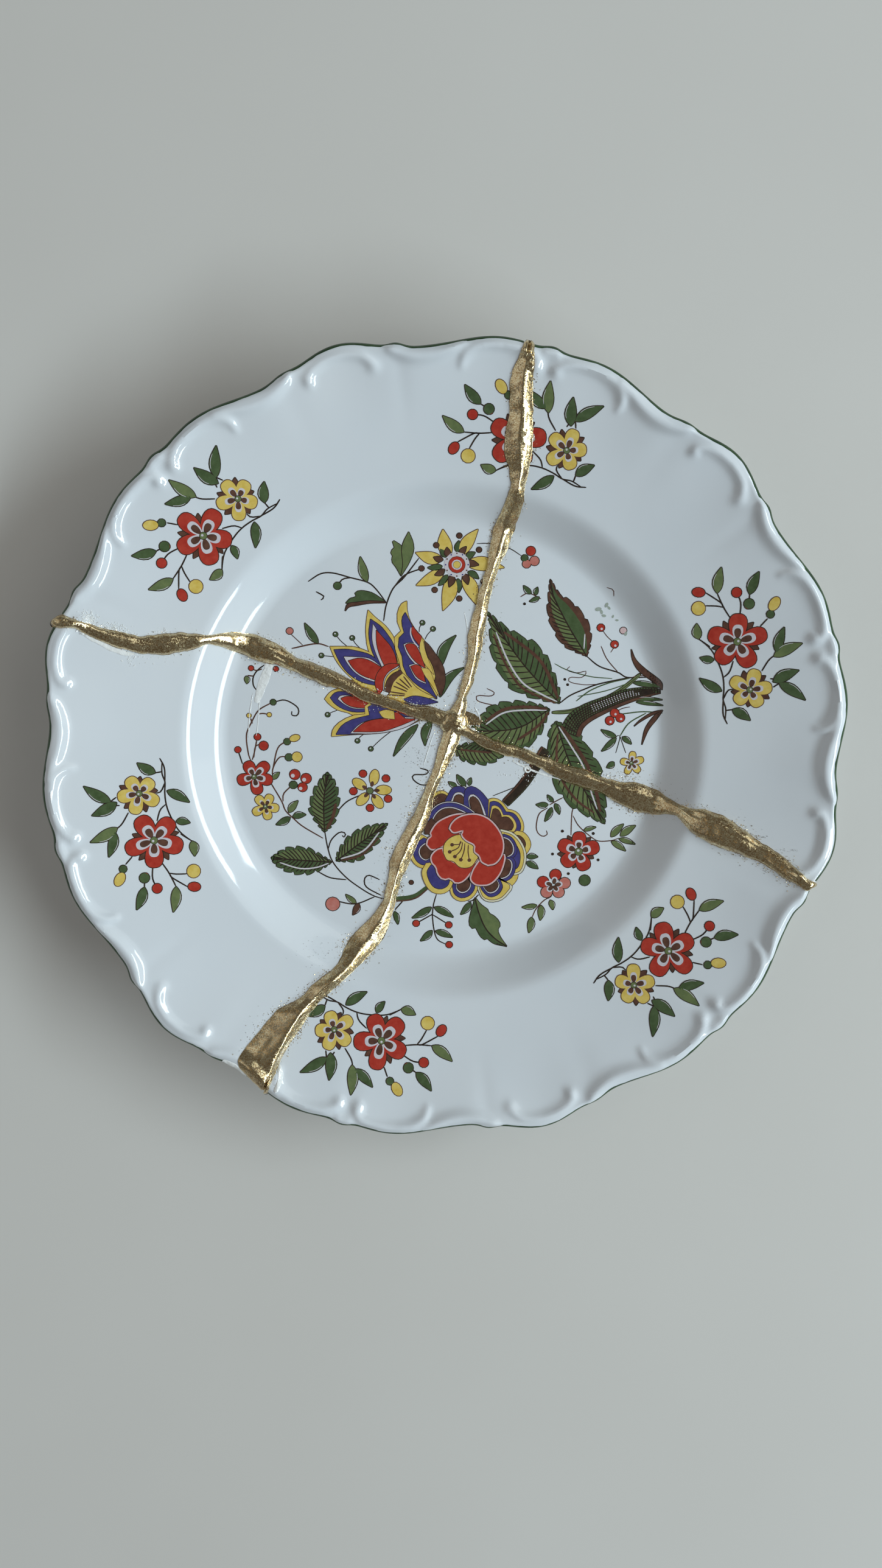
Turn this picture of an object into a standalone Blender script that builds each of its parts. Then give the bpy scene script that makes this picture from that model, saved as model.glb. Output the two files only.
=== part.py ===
"""A scalloped porcelain dessert plate that broke into four sherds and was mended again.

The sherds are held together by one raised seam of gold-coloured epoxy, whose four arms follow the
breaks and run together at the middle of the plate.

The plate lies on its foot ring. The origin is the centre of the foot ring at table height, +Z is up
and +Y points to the top of the plate. Blender's unit is the metre; the sizes below are millimetres,
and MM turns them into metres.
"""

import math

import bmesh
import bpy
from mathutils import Vector

MM = 0.001

# The plate's turned form
RIM_RADIUS = 96.0        # mean radius of the scalloped edge
WELL_FLOOR = 5.6         # height of the well's upper face
SHOULDER_START = 53.0    # radius where the well begins to turn up
SHOULDER_END = 64.5      # radius where it has turned into the rim
SHOULDER_RISE = 6.4
RIM_START = 60.0         # radius where the rim's own slope sets in
RIM_RISE = 8.3           # height that the rim gains out to its lip
RIM_CURVE = 1.25         # 1 is a straight cone, more is a bowl
WELL_THICKNESS = 3.1
EDGE_THICKNESS = 2.5
LIP_START = RIM_RADIUS - EDGE_THICKNESS / 2  # radius where the lip's half round begins
LIP_ROUNDS = 4           # points round the edge of the lip
TURN_STEPS = 120         # one every 3 degrees
RINGS = (53.0, 55.5, 57.5, 59.5, 61.5, 64.5, 70.0, 77.0, 84.0, 90.0)  # radii of the profile's points

# The foot ring under the well
FOOT_INNER = 49.6
FOOT_OUTER = 53.4
FOOT_CHAMFER = 0.5
FOOT_SIDE = 1.6          # height at which the ring's outer side meets the underside's curve

# The scalloped edge repeats six times. Each bump adds to the edge's radius: where it is in the
# repeat (degrees), how wide it is (degrees), and its height as a part of the rim's radius.
REPEATS = 6
EDGE_BASE = 0.976
EDGE_BUMPS = (
    (7.3, 7.4, 0.034),     # left half of the double lobe
    (21.7, 7.5, 0.034),    # right half
    (14.8, 1.5, 0.0093),   # small point where the halves meet
    (36.7, 1.4, 0.0086),   # bead beside the small lobe
    (45.1, 6.6, 0.0394),   # small lobe
    (53.4, 2.1, 0.0085),   # bead on its other side
)
SCALLOP_START = 70.0     # radius inside which the plate stays round

# The breaks and the seam on them
BREAK_WIDTH = 0.9        # space between two sherds
WEB_WIDTH = 0.3          # epoxy inside the break
CLEAR = 0.3              # gap that the epoxy keeps to the porcelain
ARM_STEP = 0.03          # each arm lies this much further off than the last, so no faces coincide
JUNCTION = (2.5, 4.5)    # where the four breaks meet
BEAD_EDGE = 0.12         # thickness of the bead's feathered edge
BEAD_BASE = 0.5          # crown height of a bead of no width
BEAD_SLOPE = 0.19        # crown height gained with each millimetre of width
BACK_WIDTH = 0.5         # bead on the underside, as a part of the width of the front one
BACK_HEIGHT = 0.8
BACK_LEAST = 0.03        # what is left of the underside's bead where it passes the foot ring
BACK_INSIDE = (2.8, 1.2)   # it dwindles between these distances inside the ring
BACK_OUTSIDE = (2.2, 3.6)  # and swells again between these outside it
FRONT_SAMPLES = (-1.0, -0.85, -0.45, 0.0, 0.45, 0.85, 1.0)
BACK_SAMPLES = (1.0, 0.0, -1.0)
# Radii that get a station of their own: both sides of the foot ring, and the shoulder's rings.
STATION_RADII = (
    FOOT_INNER - BACK_INSIDE[0], FOOT_INNER - BACK_INSIDE[1], FOOT_INNER + CLEAR,
    FOOT_OUTER - CLEAR, FOOT_OUTER + BACK_OUTSIDE[0], FOOT_OUTER + BACK_OUTSIDE[1],
) + RINGS[3:6]
STATION_SPACING = 0.25   # no extra station lies closer than this to one of the arm's own
LUMP_CENTRE = (2.4, 4.8)  # the lump where the arms meet
LUMP_SIZE = (3.6, 3.2)    # its half length and half width
LUMP_HEIGHT = 2.0

# Each arm is a list of stations. At every station the seam is cut straight across, along X for the
# arms that run up and down and along Y for those that run sideways. The four numbers are the place
# along the arm, the bead's lower edge, the break and the bead's upper edge.
TOP_ARM = (
    (3.9, 0.2, 2.3, 4.9), (7.5, 1.3, 3.5, 5.6), (11.0, 3.5, 4.6, 5.7), (16.0, 4.9, 6.3, 7.7),
    (21.0, 6.0, 7.5, 8.9), (26.0, 5.8, 7.9, 9.8), (31.0, 7.2, 8.8, 10.5), (37.0, 8.6, 10.1, 11.6),
    (42.5, 10.4, 11.9, 13.2), (47.0, 11.0, 13.1, 15.4), (52.5, 12.0, 14.8, 17.4),
    (57.5, 14.5, 16.8, 18.9), (62.0, 15.9, 17.7, 19.4), (66.0, 15.5, 18.1, 20.3),
    (69.0, 14.3, 17.9, 20.9), (73.0, 14.2, 17.6, 21.1), (79.0, 15.4, 18.2, 20.8),
    (86.5, 15.2, 18.4, 20.8), (90.0, 16.5, 18.9, 20.9), (93.1, 17.9, 19.4, 20.9),
    (94.9, 18.9, 19.8, 20.8),
)
LEFT_ARM = (
    (3.1, 2.2, 4.4, 6.6), (-2.5, 4.4, 6.1, 8.7), (-7.5, 5.7, 7.5, 9.2), (-12.5, 7.8, 9.3, 10.7),
    (-20.0, 9.9, 11.9, 13.9), (-25.0, 12.7, 14.6, 16.6), (-30.0, 14.0, 16.5, 18.8),
    (-36.0, 16.9, 18.8, 20.8), (-41.0, 18.9, 21.5, 24.3), (-46.0, 19.9, 23.2, 26.5),
    (-51.0, 22.2, 24.8, 27.2), (-54.5, 24.0, 25.5, 26.9), (-57.0, 24.5, 25.6, 26.5),
    (-60.5, 23.2, 25.3, 27.3), (-66.0, 22.0, 24.8, 27.5), (-72.5, 22.3, 24.5, 26.6),
    (-79.0, 24.3, 26.2, 28.1), (-85.0, 27.4, 28.8, 30.0), (-88.0, 29.0, 30.2, 31.3),
    (-90.3, 29.0, 30.8, 32.4), (-91.9, 28.9, 30.3, 31.0),
)
RIGHT_ARM = (
    (1.9, 2.4, 4.6, 6.8), (6.5, 0.6, 2.0, 3.4), (10.0, -2.0, 0.0, 1.7), (13.0, -3.0, -1.1, 0.5),
    (18.0, -4.1, -2.5, -0.9), (24.0, -6.8, -5.0, -3.2), (30.0, -10.0, -7.8, -5.6),
    (35.0, -11.9, -9.4, -6.9), (39.0, -12.9, -10.9, -8.9), (43.0, -15.4, -12.5, -9.9),
    (48.0, -18.0, -14.1, -10.2), (52.5, -18.1, -15.0, -11.8), (57.5, -17.8, -16.4, -14.9),
    (60.5, -21.4, -18.4, -15.7), (64.0, -23.7, -19.8, -15.8), (68.0, -25.3, -21.2, -17.0),
    (72.5, -26.6, -23.3, -20.0), (77.0, -28.2, -25.8, -23.2), (82.5, -31.7, -29.2, -26.6),
    (86.0, -33.7, -31.9, -29.9), (88.0, -35.0, -33.2, -31.9), (89.3, -33.2, -33.0, -32.1),
)
BOTTOM_ARM = (
    (5.1, 0.4, 2.7, 5.0), (1.0, -0.4, 1.4, 4.2), (-3.0, -1.7, 0.3, 2.7), (-8.0, -3.0, -1.4, 0.1),
    (-13.0, -5.0, -3.5, -2.1), (-19.0, -7.9, -5.6, -3.2), (-24.0, -10.6, -8.3, -5.8),
    (-30.0, -13.6, -10.8, -8.1), (-35.0, -13.9, -12.2, -10.7), (-40.0, -15.0, -13.5, -11.9),
    (-45.0, -18.8, -16.0, -13.2), (-50.0, -23.8, -19.5, -15.1), (-55.0, -26.3, -23.2, -20.0),
    (-60.0, -32.8, -29.5, -26.3), (-63.0, -35.5, -32.6, -29.8), (-65.5, -41.3, -35.2, -32.0),
    (-71.0, -45.9, -38.8, -36.1), (-76.0, -50.6, -41.2, -39.3), (-79.0, -50.4, -42.4, -41.0),
    (-82.0, -47.6, -43.6, -42.2), (-84.6, -44.7, -44.2, -43.1),
)
ARMS = {"top": TOP_ARM, "left": LEFT_ARM, "right": RIGHT_ARM, "bottom": BOTTOM_ARM}
UPRIGHT_ARMS = ("top", "bottom")

# Each sherd lies between two breaks, in the order that runs anticlockwise seen from above.
SHERDS = {
    "sherd_upper_left": ("top", "left"),
    "sherd_lower_left": ("left", "bottom"),
    "sherd_lower_right": ("bottom", "right"),
    "sherd_upper_right": ("right", "top"),
}
PAST_RIM = 6.0           # how far a sherd's space follows a break beyond the rim
CUTTER_RADIUS = 130.0
CUTTER_CORNERS = 7       # corners between the two breaks, outside the plate
CUTTER_BOTTOM = -10.0
CUTTER_TOP = 40.0


def smooth(value, start, end):
    """An S-shaped step from 0 at start to 1 at end."""
    part = min(max((value - start) / (end - start), 0.0), 1.0)
    return part * part * (3.0 - 2.0 * part)


def upper_height(radius):
    """Height of the porcelain's upper face: flat well, shoulder, then the rim up to its lip."""
    shoulder = SHOULDER_RISE * smooth(radius, SHOULDER_START, SHOULDER_END)
    outward = max(min(radius, LIP_START) - RIM_START, 0.0) / (LIP_START - RIM_START)
    return WELL_FLOOR + shoulder + RIM_RISE * outward ** RIM_CURVE


def lower_height(radius):
    """Height of the underside without its foot ring: the wall thins towards the lip."""
    outward = smooth(radius, SHOULDER_START, LIP_START)
    return upper_height(radius) - WELL_THICKNESS + (WELL_THICKNESS - EDGE_THICKNESS) * outward


def edge_factor(angle):
    """The scalloped edge's radius at an angle in radians, as a part of RIM_RADIUS."""
    repeat = 360.0 / REPEATS
    place = math.degrees(angle) % repeat
    factor = EDGE_BASE
    for centre, width, height in EDGE_BUMPS:
        away = (place - centre + repeat / 2) % repeat - repeat / 2
        factor += height * math.exp(-((away / width) ** 2))
    return factor


def scalloped(x, y):
    """Moves a point of the round plate outwards or inwards, fully at the edge and not at the well."""
    radius = math.hypot(x, y)
    reach = smooth(radius, SCALLOP_START, RIM_RADIUS)
    stretch = 1.0 + (edge_factor(math.atan2(y, x)) - 1.0) * reach
    return x * stretch, y * stretch


def round_radius(x, y):
    """The radius that a point of the scalloped plate had while the plate was still round."""
    radius = math.hypot(x, y)
    guess = radius
    for _ in range(6):
        reach = smooth(guess, SCALLOP_START, RIM_RADIUS)
        guess = radius / (1.0 + (edge_factor(math.atan2(y, x)) - 1.0) * reach)
    return guess


def web_end(radius):
    """Height at which the epoxy in the break ends: in the foot ring it stays above the table."""
    if FOOT_INNER < radius < FOOT_OUTER:
        return CLEAR
    return lower_height(radius) - CLEAR


def back_share(radius):
    """How much of the underside's bead there is: all of it, but next to none by the foot ring."""
    inside = (FOOT_INNER - BACK_INSIDE[1] - radius) / (BACK_INSIDE[0] - BACK_INSIDE[1])
    outside = (radius - FOOT_OUTER - BACK_OUTSIDE[0]) / (BACK_OUTSIDE[1] - BACK_OUTSIDE[0])
    return min(max(inside, outside, BACK_LEAST), 1.0)


def plate_profile():
    """Half of the plate's section, from the well's middle out over the lip and back underneath."""
    upper = [(radius, upper_height(radius)) for radius in (0.0, 30.0) + RINGS]
    lip_round = RIM_RADIUS - LIP_START
    lip_centre = upper_height(LIP_START) - lip_round
    lip = []
    for step in range(LIP_ROUNDS + 1):
        turn = math.pi / 2 - math.pi * step / LIP_ROUNDS
        lip.append((LIP_START + lip_round * math.cos(turn), lip_centre + lip_round * math.sin(turn)))
    lower = [(radius, lower_height(radius)) for radius in RINGS[:0:-1]]
    foot = [
        (FOOT_OUTER, FOOT_SIDE), (FOOT_OUTER - FOOT_CHAMFER / 2, FOOT_CHAMFER),
        (FOOT_OUTER - FOOT_CHAMFER, 0.0), (FOOT_INNER + FOOT_CHAMFER, 0.0),
        (FOOT_INNER, FOOT_CHAMFER), (FOOT_INNER - FOOT_CHAMFER, lower_height(0.0)),
        (30.0, lower_height(0.0)), (0.0, lower_height(0.0)),
    ]
    return upper + lip + lower + foot


def collection(name, hidden=False):
    made = bpy.data.collections.new(name)
    bpy.context.scene.collection.children.link(made)
    made.hide_render = hidden
    return made


def material(name, colour, roughness, metallic=0.0):
    made = bpy.data.materials.new(name)
    made.use_nodes = True
    shader = made.node_tree.nodes["Principled BSDF"]
    shader.inputs["Base Color"].default_value = (*colour, 1.0)
    shader.inputs["Roughness"].default_value = roughness
    shader.inputs["Metallic"].default_value = metallic
    return made


def add_object(name, mesh, group):
    made = bpy.data.objects.new(name, mesh)
    group.objects.link(made)
    return made


def mesh_from(name, points, faces):
    """A mesh of points in millimetres, with its faces turned outwards."""
    mesh = bpy.data.meshes.new(name)
    mesh.from_pydata([Vector(point) * MM for point in points], [], faces)
    shaped = bmesh.new()
    shaped.from_mesh(mesh)
    bmesh.ops.recalc_face_normals(shaped, faces=shaped.faces)
    shaped.to_mesh(mesh)
    shaped.free()
    return mesh


def turned_plate(group):
    """The whole plate: the profile turned by a Screw modifier, then drawn out to its scallops."""
    profile = plate_profile()
    line = bpy.data.meshes.new("plate_profile")
    edges = [(i, i + 1) for i in range(len(profile) - 1)]
    line.from_pydata([(radius * MM, 0.0, height * MM) for radius, height in profile], edges, [])
    blank = add_object("plate_profile", line, group)
    screw = blank.modifiers.new("turn", "SCREW")
    screw.axis = "Z"
    screw.steps = TURN_STEPS
    screw.render_steps = TURN_STEPS
    screw.use_merge_vertices = True
    screw.merge_threshold = 0.00001
    bpy.context.view_layer.update()
    turned = blank.evaluated_get(bpy.context.evaluated_depsgraph_get())
    mesh = bpy.data.meshes.new_from_object(turned)
    mesh.name = "whole_plate"
    for vertex in mesh.vertices:
        x, y = scalloped(vertex.co.x / MM, vertex.co.y / MM)
        vertex.co.x = x * MM
        vertex.co.y = y * MM
    bpy.data.objects.remove(blank)
    return mesh


def plan_point(arm, along, across):
    """A station's place on the plate, from its distance along the arm and across it."""
    return Vector((across, along)) if arm in UPRIGHT_ARMS else Vector((along, across))


def break_line(arm):
    """The break from the junction to beyond the rim, as points in plan."""
    points = [Vector(JUNCTION)]
    points += [plan_point(arm, station[0], station[2]) for station in ARMS[arm][1:]]
    outward = (points[-1] - points[-3]).normalized()
    return points + [points[-1] + outward * PAST_RIM]


def offset_line(points, distance):
    """The line moved sideways, to its left where distance is positive, with mitred corners."""
    normals = []
    for start, end in zip(points, points[1:]):
        run = (end - start).normalized()
        normals.append(Vector((-run.y, run.x)))
    moved = []
    for i, point in enumerate(points):
        before = normals[max(i - 1, 0)]
        after = normals[min(i, len(normals) - 1)]
        moved.append(point + (before + after) * (distance / (1.0 + before.dot(after))))
    return moved


def sherd_outline(first, second):
    """Plan of the space for one sherd: it runs out along one break and back along the next."""
    one = break_line(first)
    two = break_line(second)
    run_one = (one[1] - one[0]).normalized()
    run_two = (two[1] - two[0]).normalized()
    corner = one[0] + (run_one + run_two) * (BREAK_WIDTH / 2 / abs(run_one.cross(run_two)))
    out = offset_line(one, BREAK_WIDTH / 2)[1:]
    back = offset_line(two, -BREAK_WIDTH / 2)[1:]
    start = math.atan2(out[-1].y, out[-1].x)
    sweep = (math.atan2(back[-1].y, back[-1].x) - start) % math.tau
    arc = []
    for step in range(1, CUTTER_CORNERS + 1):
        angle = start + sweep * step / (CUTTER_CORNERS + 1)
        arc.append(Vector((math.cos(angle), math.sin(angle))) * CUTTER_RADIUS)
    return [corner] + out + arc + back[::-1]


def prism(name, outline, group):
    """A cutter: the outline raised straight up through the plate."""
    shape = bmesh.new()
    corners = [shape.verts.new((point.x * MM, point.y * MM, CUTTER_BOTTOM * MM)) for point in outline]
    base = shape.faces.new(corners)
    raised = bmesh.ops.extrude_face_region(shape, geom=[base])["geom"]
    moved = [item for item in raised if isinstance(item, bmesh.types.BMVert)]
    bmesh.ops.translate(shape, verts=moved, vec=(0.0, 0.0, (CUTTER_TOP - CUTTER_BOTTOM) * MM))
    bmesh.ops.recalc_face_normals(shape, faces=shape.faces)
    mesh = bpy.data.meshes.new(name)
    shape.to_mesh(mesh)
    shape.free()
    made = add_object(name, mesh, group)
    made.hide_render = True
    made.display_type = "WIRE"
    return made


def boolean(target, other, operation, solver="EXACT"):
    cut = target.modifiers.new(operation.lower(), "BOOLEAN")
    cut.operation = operation
    cut.object = other
    cut.solver = solver


def filled_in(arm):
    """The arm's stations, with more of them, worked out between, at the radii that need one."""
    stations = list(ARMS[arm])
    for wanted in STATION_RADII:
        for i, (one, two) in enumerate(zip(stations, stations[1:])):
            near = math.hypot(one[0], one[2])
            far = math.hypot(two[0], two[2])
            if near < wanted < far:
                part = (wanted - near) / (far - near)
                middle = tuple(a + (b - a) * part for a, b in zip(one, two))
                if min(part, 1.0 - part) * (far - near) > STATION_SPACING:
                    stations.insert(i + 1, middle)
                break
    return stations


def bead_section(low, middle, high, web, lift):
    """One cut across the seam: crown, web through the break and the flatter bead underneath.

    low and high are the bead's edges in plan, middle is the break between them, web is half of the
    epoxy's thickness in the break, as a vector towards the high edge, and lift is extra clearance.
    """
    crown = BEAD_BASE + BEAD_SLOPE * (high - low).length
    share = back_share(round_radius(*middle))
    back_high = web.lerp((high - middle) * BACK_WIDTH, share)
    back_low = (-web).lerp((low - middle) * BACK_WIDTH, share)

    def above(place, height):
        return (place.x, place.y, upper_height(round_radius(*place)) + CLEAR + lift + height)

    def below(place, depth):
        return (place.x, place.y, web_end(round_radius(*place)) - (depth + lift) * share)

    def swell(part):
        return (1.0 - abs(part) ** 2.4) ** 0.6

    front = []
    for part in FRONT_SAMPLES:
        place = middle + (high - middle if part > 0 else middle - low) * part
        front.append(above(place, BEAD_EDGE + crown * swell(part)))
    back = []
    for part in BACK_SAMPLES:
        place = middle + (back_high if part > 0 else -back_low) * part
        back.append(below(place, BEAD_EDGE + BACK_HEIGHT * swell(part)))
    high_side = [above(high, 0.0), above(middle + web, 0.0), below(middle + web, 0.0)]
    low_side = [below(middle - web, 0.0), above(middle - web, 0.0), above(low, 0.0)]
    high_back = below(middle + back_high, 0.0)
    low_back = below(middle + back_low, 0.0)
    return front + high_side + [high_back] + back + [low_back] + low_side


def seam_arm(arm, group):
    """One arm of the seam, lofted from station to station and closed at both ends."""
    stations = filled_in(arm)
    line = [plan_point(arm, station[0], station[2]) for station in stations]
    sides = offset_line(line, WEB_WIDTH / 2)
    sections = []
    for station, middle, side in zip(stations, line, sides):
        low = plan_point(arm, station[0], station[1])
        high = plan_point(arm, station[0], station[3])
        web = side - middle
        if web.dot(high - low) < 0:
            web.negate()
        sections.append(bead_section(low, middle, high, web, ARM_STEP * list(ARMS).index(arm)))
    count = len(sections[0])
    points = [point for section in sections for point in section]
    faces = []
    for row in range(len(sections) - 1):
        for i in range(count):
            j = (i + 1) % count
            faces.append((row * count + i, row * count + j, (row + 1) * count + j, (row + 1) * count + i))
    faces.append(tuple(range(count)))
    faces.append(tuple(range(len(points) - count, len(points))))
    return add_object("seam_" + arm, mesh_from("seam_" + arm, points, faces), group)


def seam_lump(group):
    """The lump at the junction: a flattened ball whose underside stays clear of the porcelain."""
    shape = bmesh.new()
    bmesh.ops.create_uvsphere(shape, u_segments=20, v_segments=10, radius=1.0)
    underside = WELL_FLOOR + CLEAR - ARM_STEP
    for vertex in shape.verts:
        vertex.co.x = (LUMP_CENTRE[0] + LUMP_SIZE[0] * vertex.co.x) * MM
        vertex.co.y = (LUMP_CENTRE[1] + LUMP_SIZE[1] * vertex.co.y) * MM
        vertex.co.z = (underside + max(vertex.co.z, 0.0) * LUMP_HEIGHT) * MM
    mesh = bpy.data.meshes.new("seam_lump")
    shape.to_mesh(mesh)
    shape.free()
    return add_object("seam_lump", mesh, group)


for old in list(bpy.data.objects):
    bpy.data.objects.remove(old)

mended_plate = collection("mended_plate")
cutters = collection("cutters", hidden=True)
glaze = material("white_glaze", (0.78, 0.80, 0.82), 0.12)
gold = material("gold_epoxy", (0.72, 0.50, 0.16), 0.3, 0.9)

whole = turned_plate(cutters)
for sherd_name, (first_break, second_break) in SHERDS.items():
    sherd = add_object(sherd_name, whole.copy(), mended_plate)
    sherd.data.name = sherd_name
    sherd.data.materials.append(glaze)
    outline = sherd_outline(first_break, second_break)
    boolean(sherd, prism(sherd_name + "_space", outline, cutters), "INTERSECT")
    sherd.data.shade_smooth()
    sherd.data.set_sharp_from_angle(angle=math.radians(40.0))

seam = seam_arm("top", mended_plate)
seam.name = "gold_seam"
seam.data.materials.append(gold)
others = [seam_arm(arm, cutters) for arm in ("left", "right", "bottom")] + [seam_lump(cutters)]
for other in others:
    other.hide_render = True
    other.display_type = "WIRE"
    boolean(seam, other, "UNION", solver="MANIFOLD")
seam.data.shade_smooth()
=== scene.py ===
"""The looks of a scalloped porcelain plate that broke into four sherds and was mended with gold.

Sizes are worked out in millimetres, in the frame of the CAD, and turned into metres where each
mesh is made.
"""

import math

import bpy
import numpy as np
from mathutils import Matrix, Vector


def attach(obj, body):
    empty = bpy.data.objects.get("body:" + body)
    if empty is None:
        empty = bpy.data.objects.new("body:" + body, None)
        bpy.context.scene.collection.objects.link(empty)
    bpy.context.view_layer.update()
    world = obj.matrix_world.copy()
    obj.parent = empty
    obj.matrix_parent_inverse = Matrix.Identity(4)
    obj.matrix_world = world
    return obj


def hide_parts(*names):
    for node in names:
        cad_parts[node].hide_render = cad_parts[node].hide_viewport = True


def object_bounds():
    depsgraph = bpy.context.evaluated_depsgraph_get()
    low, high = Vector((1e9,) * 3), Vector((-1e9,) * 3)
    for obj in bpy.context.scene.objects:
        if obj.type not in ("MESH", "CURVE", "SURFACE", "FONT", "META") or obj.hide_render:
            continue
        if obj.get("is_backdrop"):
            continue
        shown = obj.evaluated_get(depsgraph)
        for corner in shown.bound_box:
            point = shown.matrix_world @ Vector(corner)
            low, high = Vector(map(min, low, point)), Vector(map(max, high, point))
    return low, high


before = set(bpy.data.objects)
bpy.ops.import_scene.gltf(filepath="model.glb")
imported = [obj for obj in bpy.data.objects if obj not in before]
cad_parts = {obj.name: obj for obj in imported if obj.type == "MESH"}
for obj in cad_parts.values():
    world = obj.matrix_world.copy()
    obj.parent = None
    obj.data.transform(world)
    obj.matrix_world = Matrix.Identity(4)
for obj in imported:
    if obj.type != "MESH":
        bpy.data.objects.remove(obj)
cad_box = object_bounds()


# ---------------------------------------------------------------------------------------------
# Floor, lights and camera
# The plate lies on its foot ring on a smooth pale floor. A low window stands to the right in a room
# of dim, broad light, and the camera looks down from over the plate's upper half.
# ---------------------------------------------------------------------------------------------

def linear(hex_colour):
    """An sRGB hex colour as linear red, green, blue and an alpha of one."""
    shares = [int(hex_colour[i:i + 2], 16) / 255.0 for i in (1, 3, 5)]
    turned = [s / 12.92 if s <= 0.04045 else ((s + 0.055) / 1.055) ** 2.4 for s in shares]
    return (*turned, 1.0)


def add_node(material, kind, settings=None, inputs=None):
    """Adds one node: settings are its own fields, inputs are values or sockets to link from."""
    tree = material.node_tree
    node = tree.nodes.new(kind)
    for field, value in (settings or {}).items():
        setattr(node, field, value)
    for socket, value in (inputs or {}).items():
        if isinstance(value, bpy.types.NodeSocket):
            tree.links.new(value, node.inputs[socket])
        else:
            node.inputs[socket].default_value = value
    return node


def new_material(name):
    """An empty node material, with its one shader and output already joined."""
    made = bpy.data.materials.new(name)
    made.use_nodes = True
    return made, made.node_tree.nodes["Principled BSDF"]


def set_shader(material, shader, **inputs):
    """Sets or links the shader's sockets, named with underscores for spaces."""
    for name, value in inputs.items():
        socket = shader.inputs[name.replace("_", " ")]
        if isinstance(value, bpy.types.NodeSocket):
            material.node_tree.links.new(value, socket)
        else:
            socket.default_value = value


def make_object(name, points, faces, material):
    """Puts points (mm) and four-cornered faces into a new object, smooth but for sharp edges."""
    mesh = bpy.data.meshes.new(name)
    mesh.vertices.add(len(points))
    mesh.vertices.foreach_set("co", (np.asarray(points, dtype=np.float64) * 0.001).ravel())
    mesh.loops.add(faces.size)
    mesh.loops.foreach_set("vertex_index", faces.ravel().astype(np.int32))
    mesh.polygons.add(len(faces))
    mesh.polygons.foreach_set("loop_start", np.arange(0, faces.size, 4, dtype=np.int32))
    mesh.update(calc_edges=True)
    mesh.materials.append(material)
    mesh.shade_smooth()
    mesh.set_sharp_from_angle(angle=math.radians(50.0))
    made = bpy.data.objects.new(name, mesh)
    bpy.context.scene.collection.objects.link(made)
    return made


def coordinates(material):
    """The object's own coordinates, in metres, as a socket."""
    return add_node(material, "ShaderNodeTexCoord").outputs["Object"]


def noise(material, scale, detail=2.0, roughness=0.5):
    """Soft noise over the object's own coordinates, as a socket."""
    return add_node(material, "ShaderNodeTexNoise", inputs={
        "Vector": coordinates(material), "Scale": scale, "Detail": detail,
        "Roughness": roughness}).outputs["Fac"]


def tinted(material, share, none, full):
    """The colour that a share gives between two others, each an sRGB hex or a socket."""
    none, full = (linear(end) if isinstance(end, str) else end for end in (none, full))
    return add_node(material, "ShaderNodeMix", {"data_type": "RGBA"}, {
        "Factor": share, "A": none, "B": full}).outputs["Result"]


floor_paint, shader = new_material("pale_matt_paint")
# Matt wall paint on a smooth board: nearly even, with a soft mottle a hand wide.
mottle = noise(floor_paint, 9.0, 3.0)
set_shader(floor_paint, shader, Base_Color=tinted(floor_paint, mottle, "#d6d2cb", "#dedbd5"),
           Roughness=0.75)

across = np.linspace(-1500.0, 1500.0, 9)
ground = np.stack(np.meshgrid(across, across, indexing="ij") + [np.zeros((9, 9))], axis=-1)
corner = (np.arange(8)[:, None] * 9 + np.arange(8)).ravel()
floor = make_object("floor", ground.reshape(-1, 3),
                    np.stack([corner, corner + 9, corner + 10, corner + 1], axis=1), floor_paint)
floor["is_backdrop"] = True

world = bpy.data.worlds.new("soft_room")
world.use_nodes = True
world.node_tree.nodes["Background"].inputs["Color"].default_value = linear("#cccdcc")
world.node_tree.nodes["Background"].inputs["Strength"].default_value = 0.24
bpy.context.scene.world = world

LAMPS = (   # name, place (m), its two sizes (m), power (W), colour; each faces the plate
    ("window", (1.28, -0.2, 0.86), (1.8, 0.26), 22.5, "#e0f1fa"),
    ("bright_wall", (1.4, 0.6, 1.2), (1.9, 1.6), 7.8, "#eef2ee"),
    ("far_room", (-1.2, 0.3, 1.0), (1.8, 1.6), 4.2, "#eaeef0"),
)
for name, place, size, power, colour in LAMPS:
    lamp = bpy.data.lights.new(name, "AREA")
    lamp.shape = "RECTANGLE"
    lamp.size, lamp.size_y = size
    lamp.energy = power
    lamp.color = linear(colour)[:3]
    holder = bpy.data.objects.new(name, lamp)
    x, y, z = place
    holder.location = place
    holder.rotation_euler = (math.acos(z / math.sqrt(x * x + y * y + z * z)), 0.0,
                             math.atan2(y, x) + math.pi / 2)
    bpy.context.scene.collection.objects.link(holder)

eye = bpy.data.cameras.new("looking_down")
eye.lens = 39.53
eye.clip_start = 0.02
camera = bpy.data.objects.new("looking_down", eye)
camera.location = (-0.00199, 0.05313, 0.42811)
camera.rotation_euler = (math.radians(-8.578), math.radians(-0.18), 0.0)
bpy.context.scene.collection.objects.link(camera)
bpy.context.scene.camera = camera
bpy.context.scene.view_settings.view_transform = "Standard"


# ---------------------------------------------------------------------------------------------
# The four sherds
# Slip-cast hard porcelain: a turned form with a flat well, a steep shoulder and a wide rim that
# is pressed into scallops with rococo scrolls. The ground foot ring is bare, all else is glazed.
# ---------------------------------------------------------------------------------------------

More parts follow.
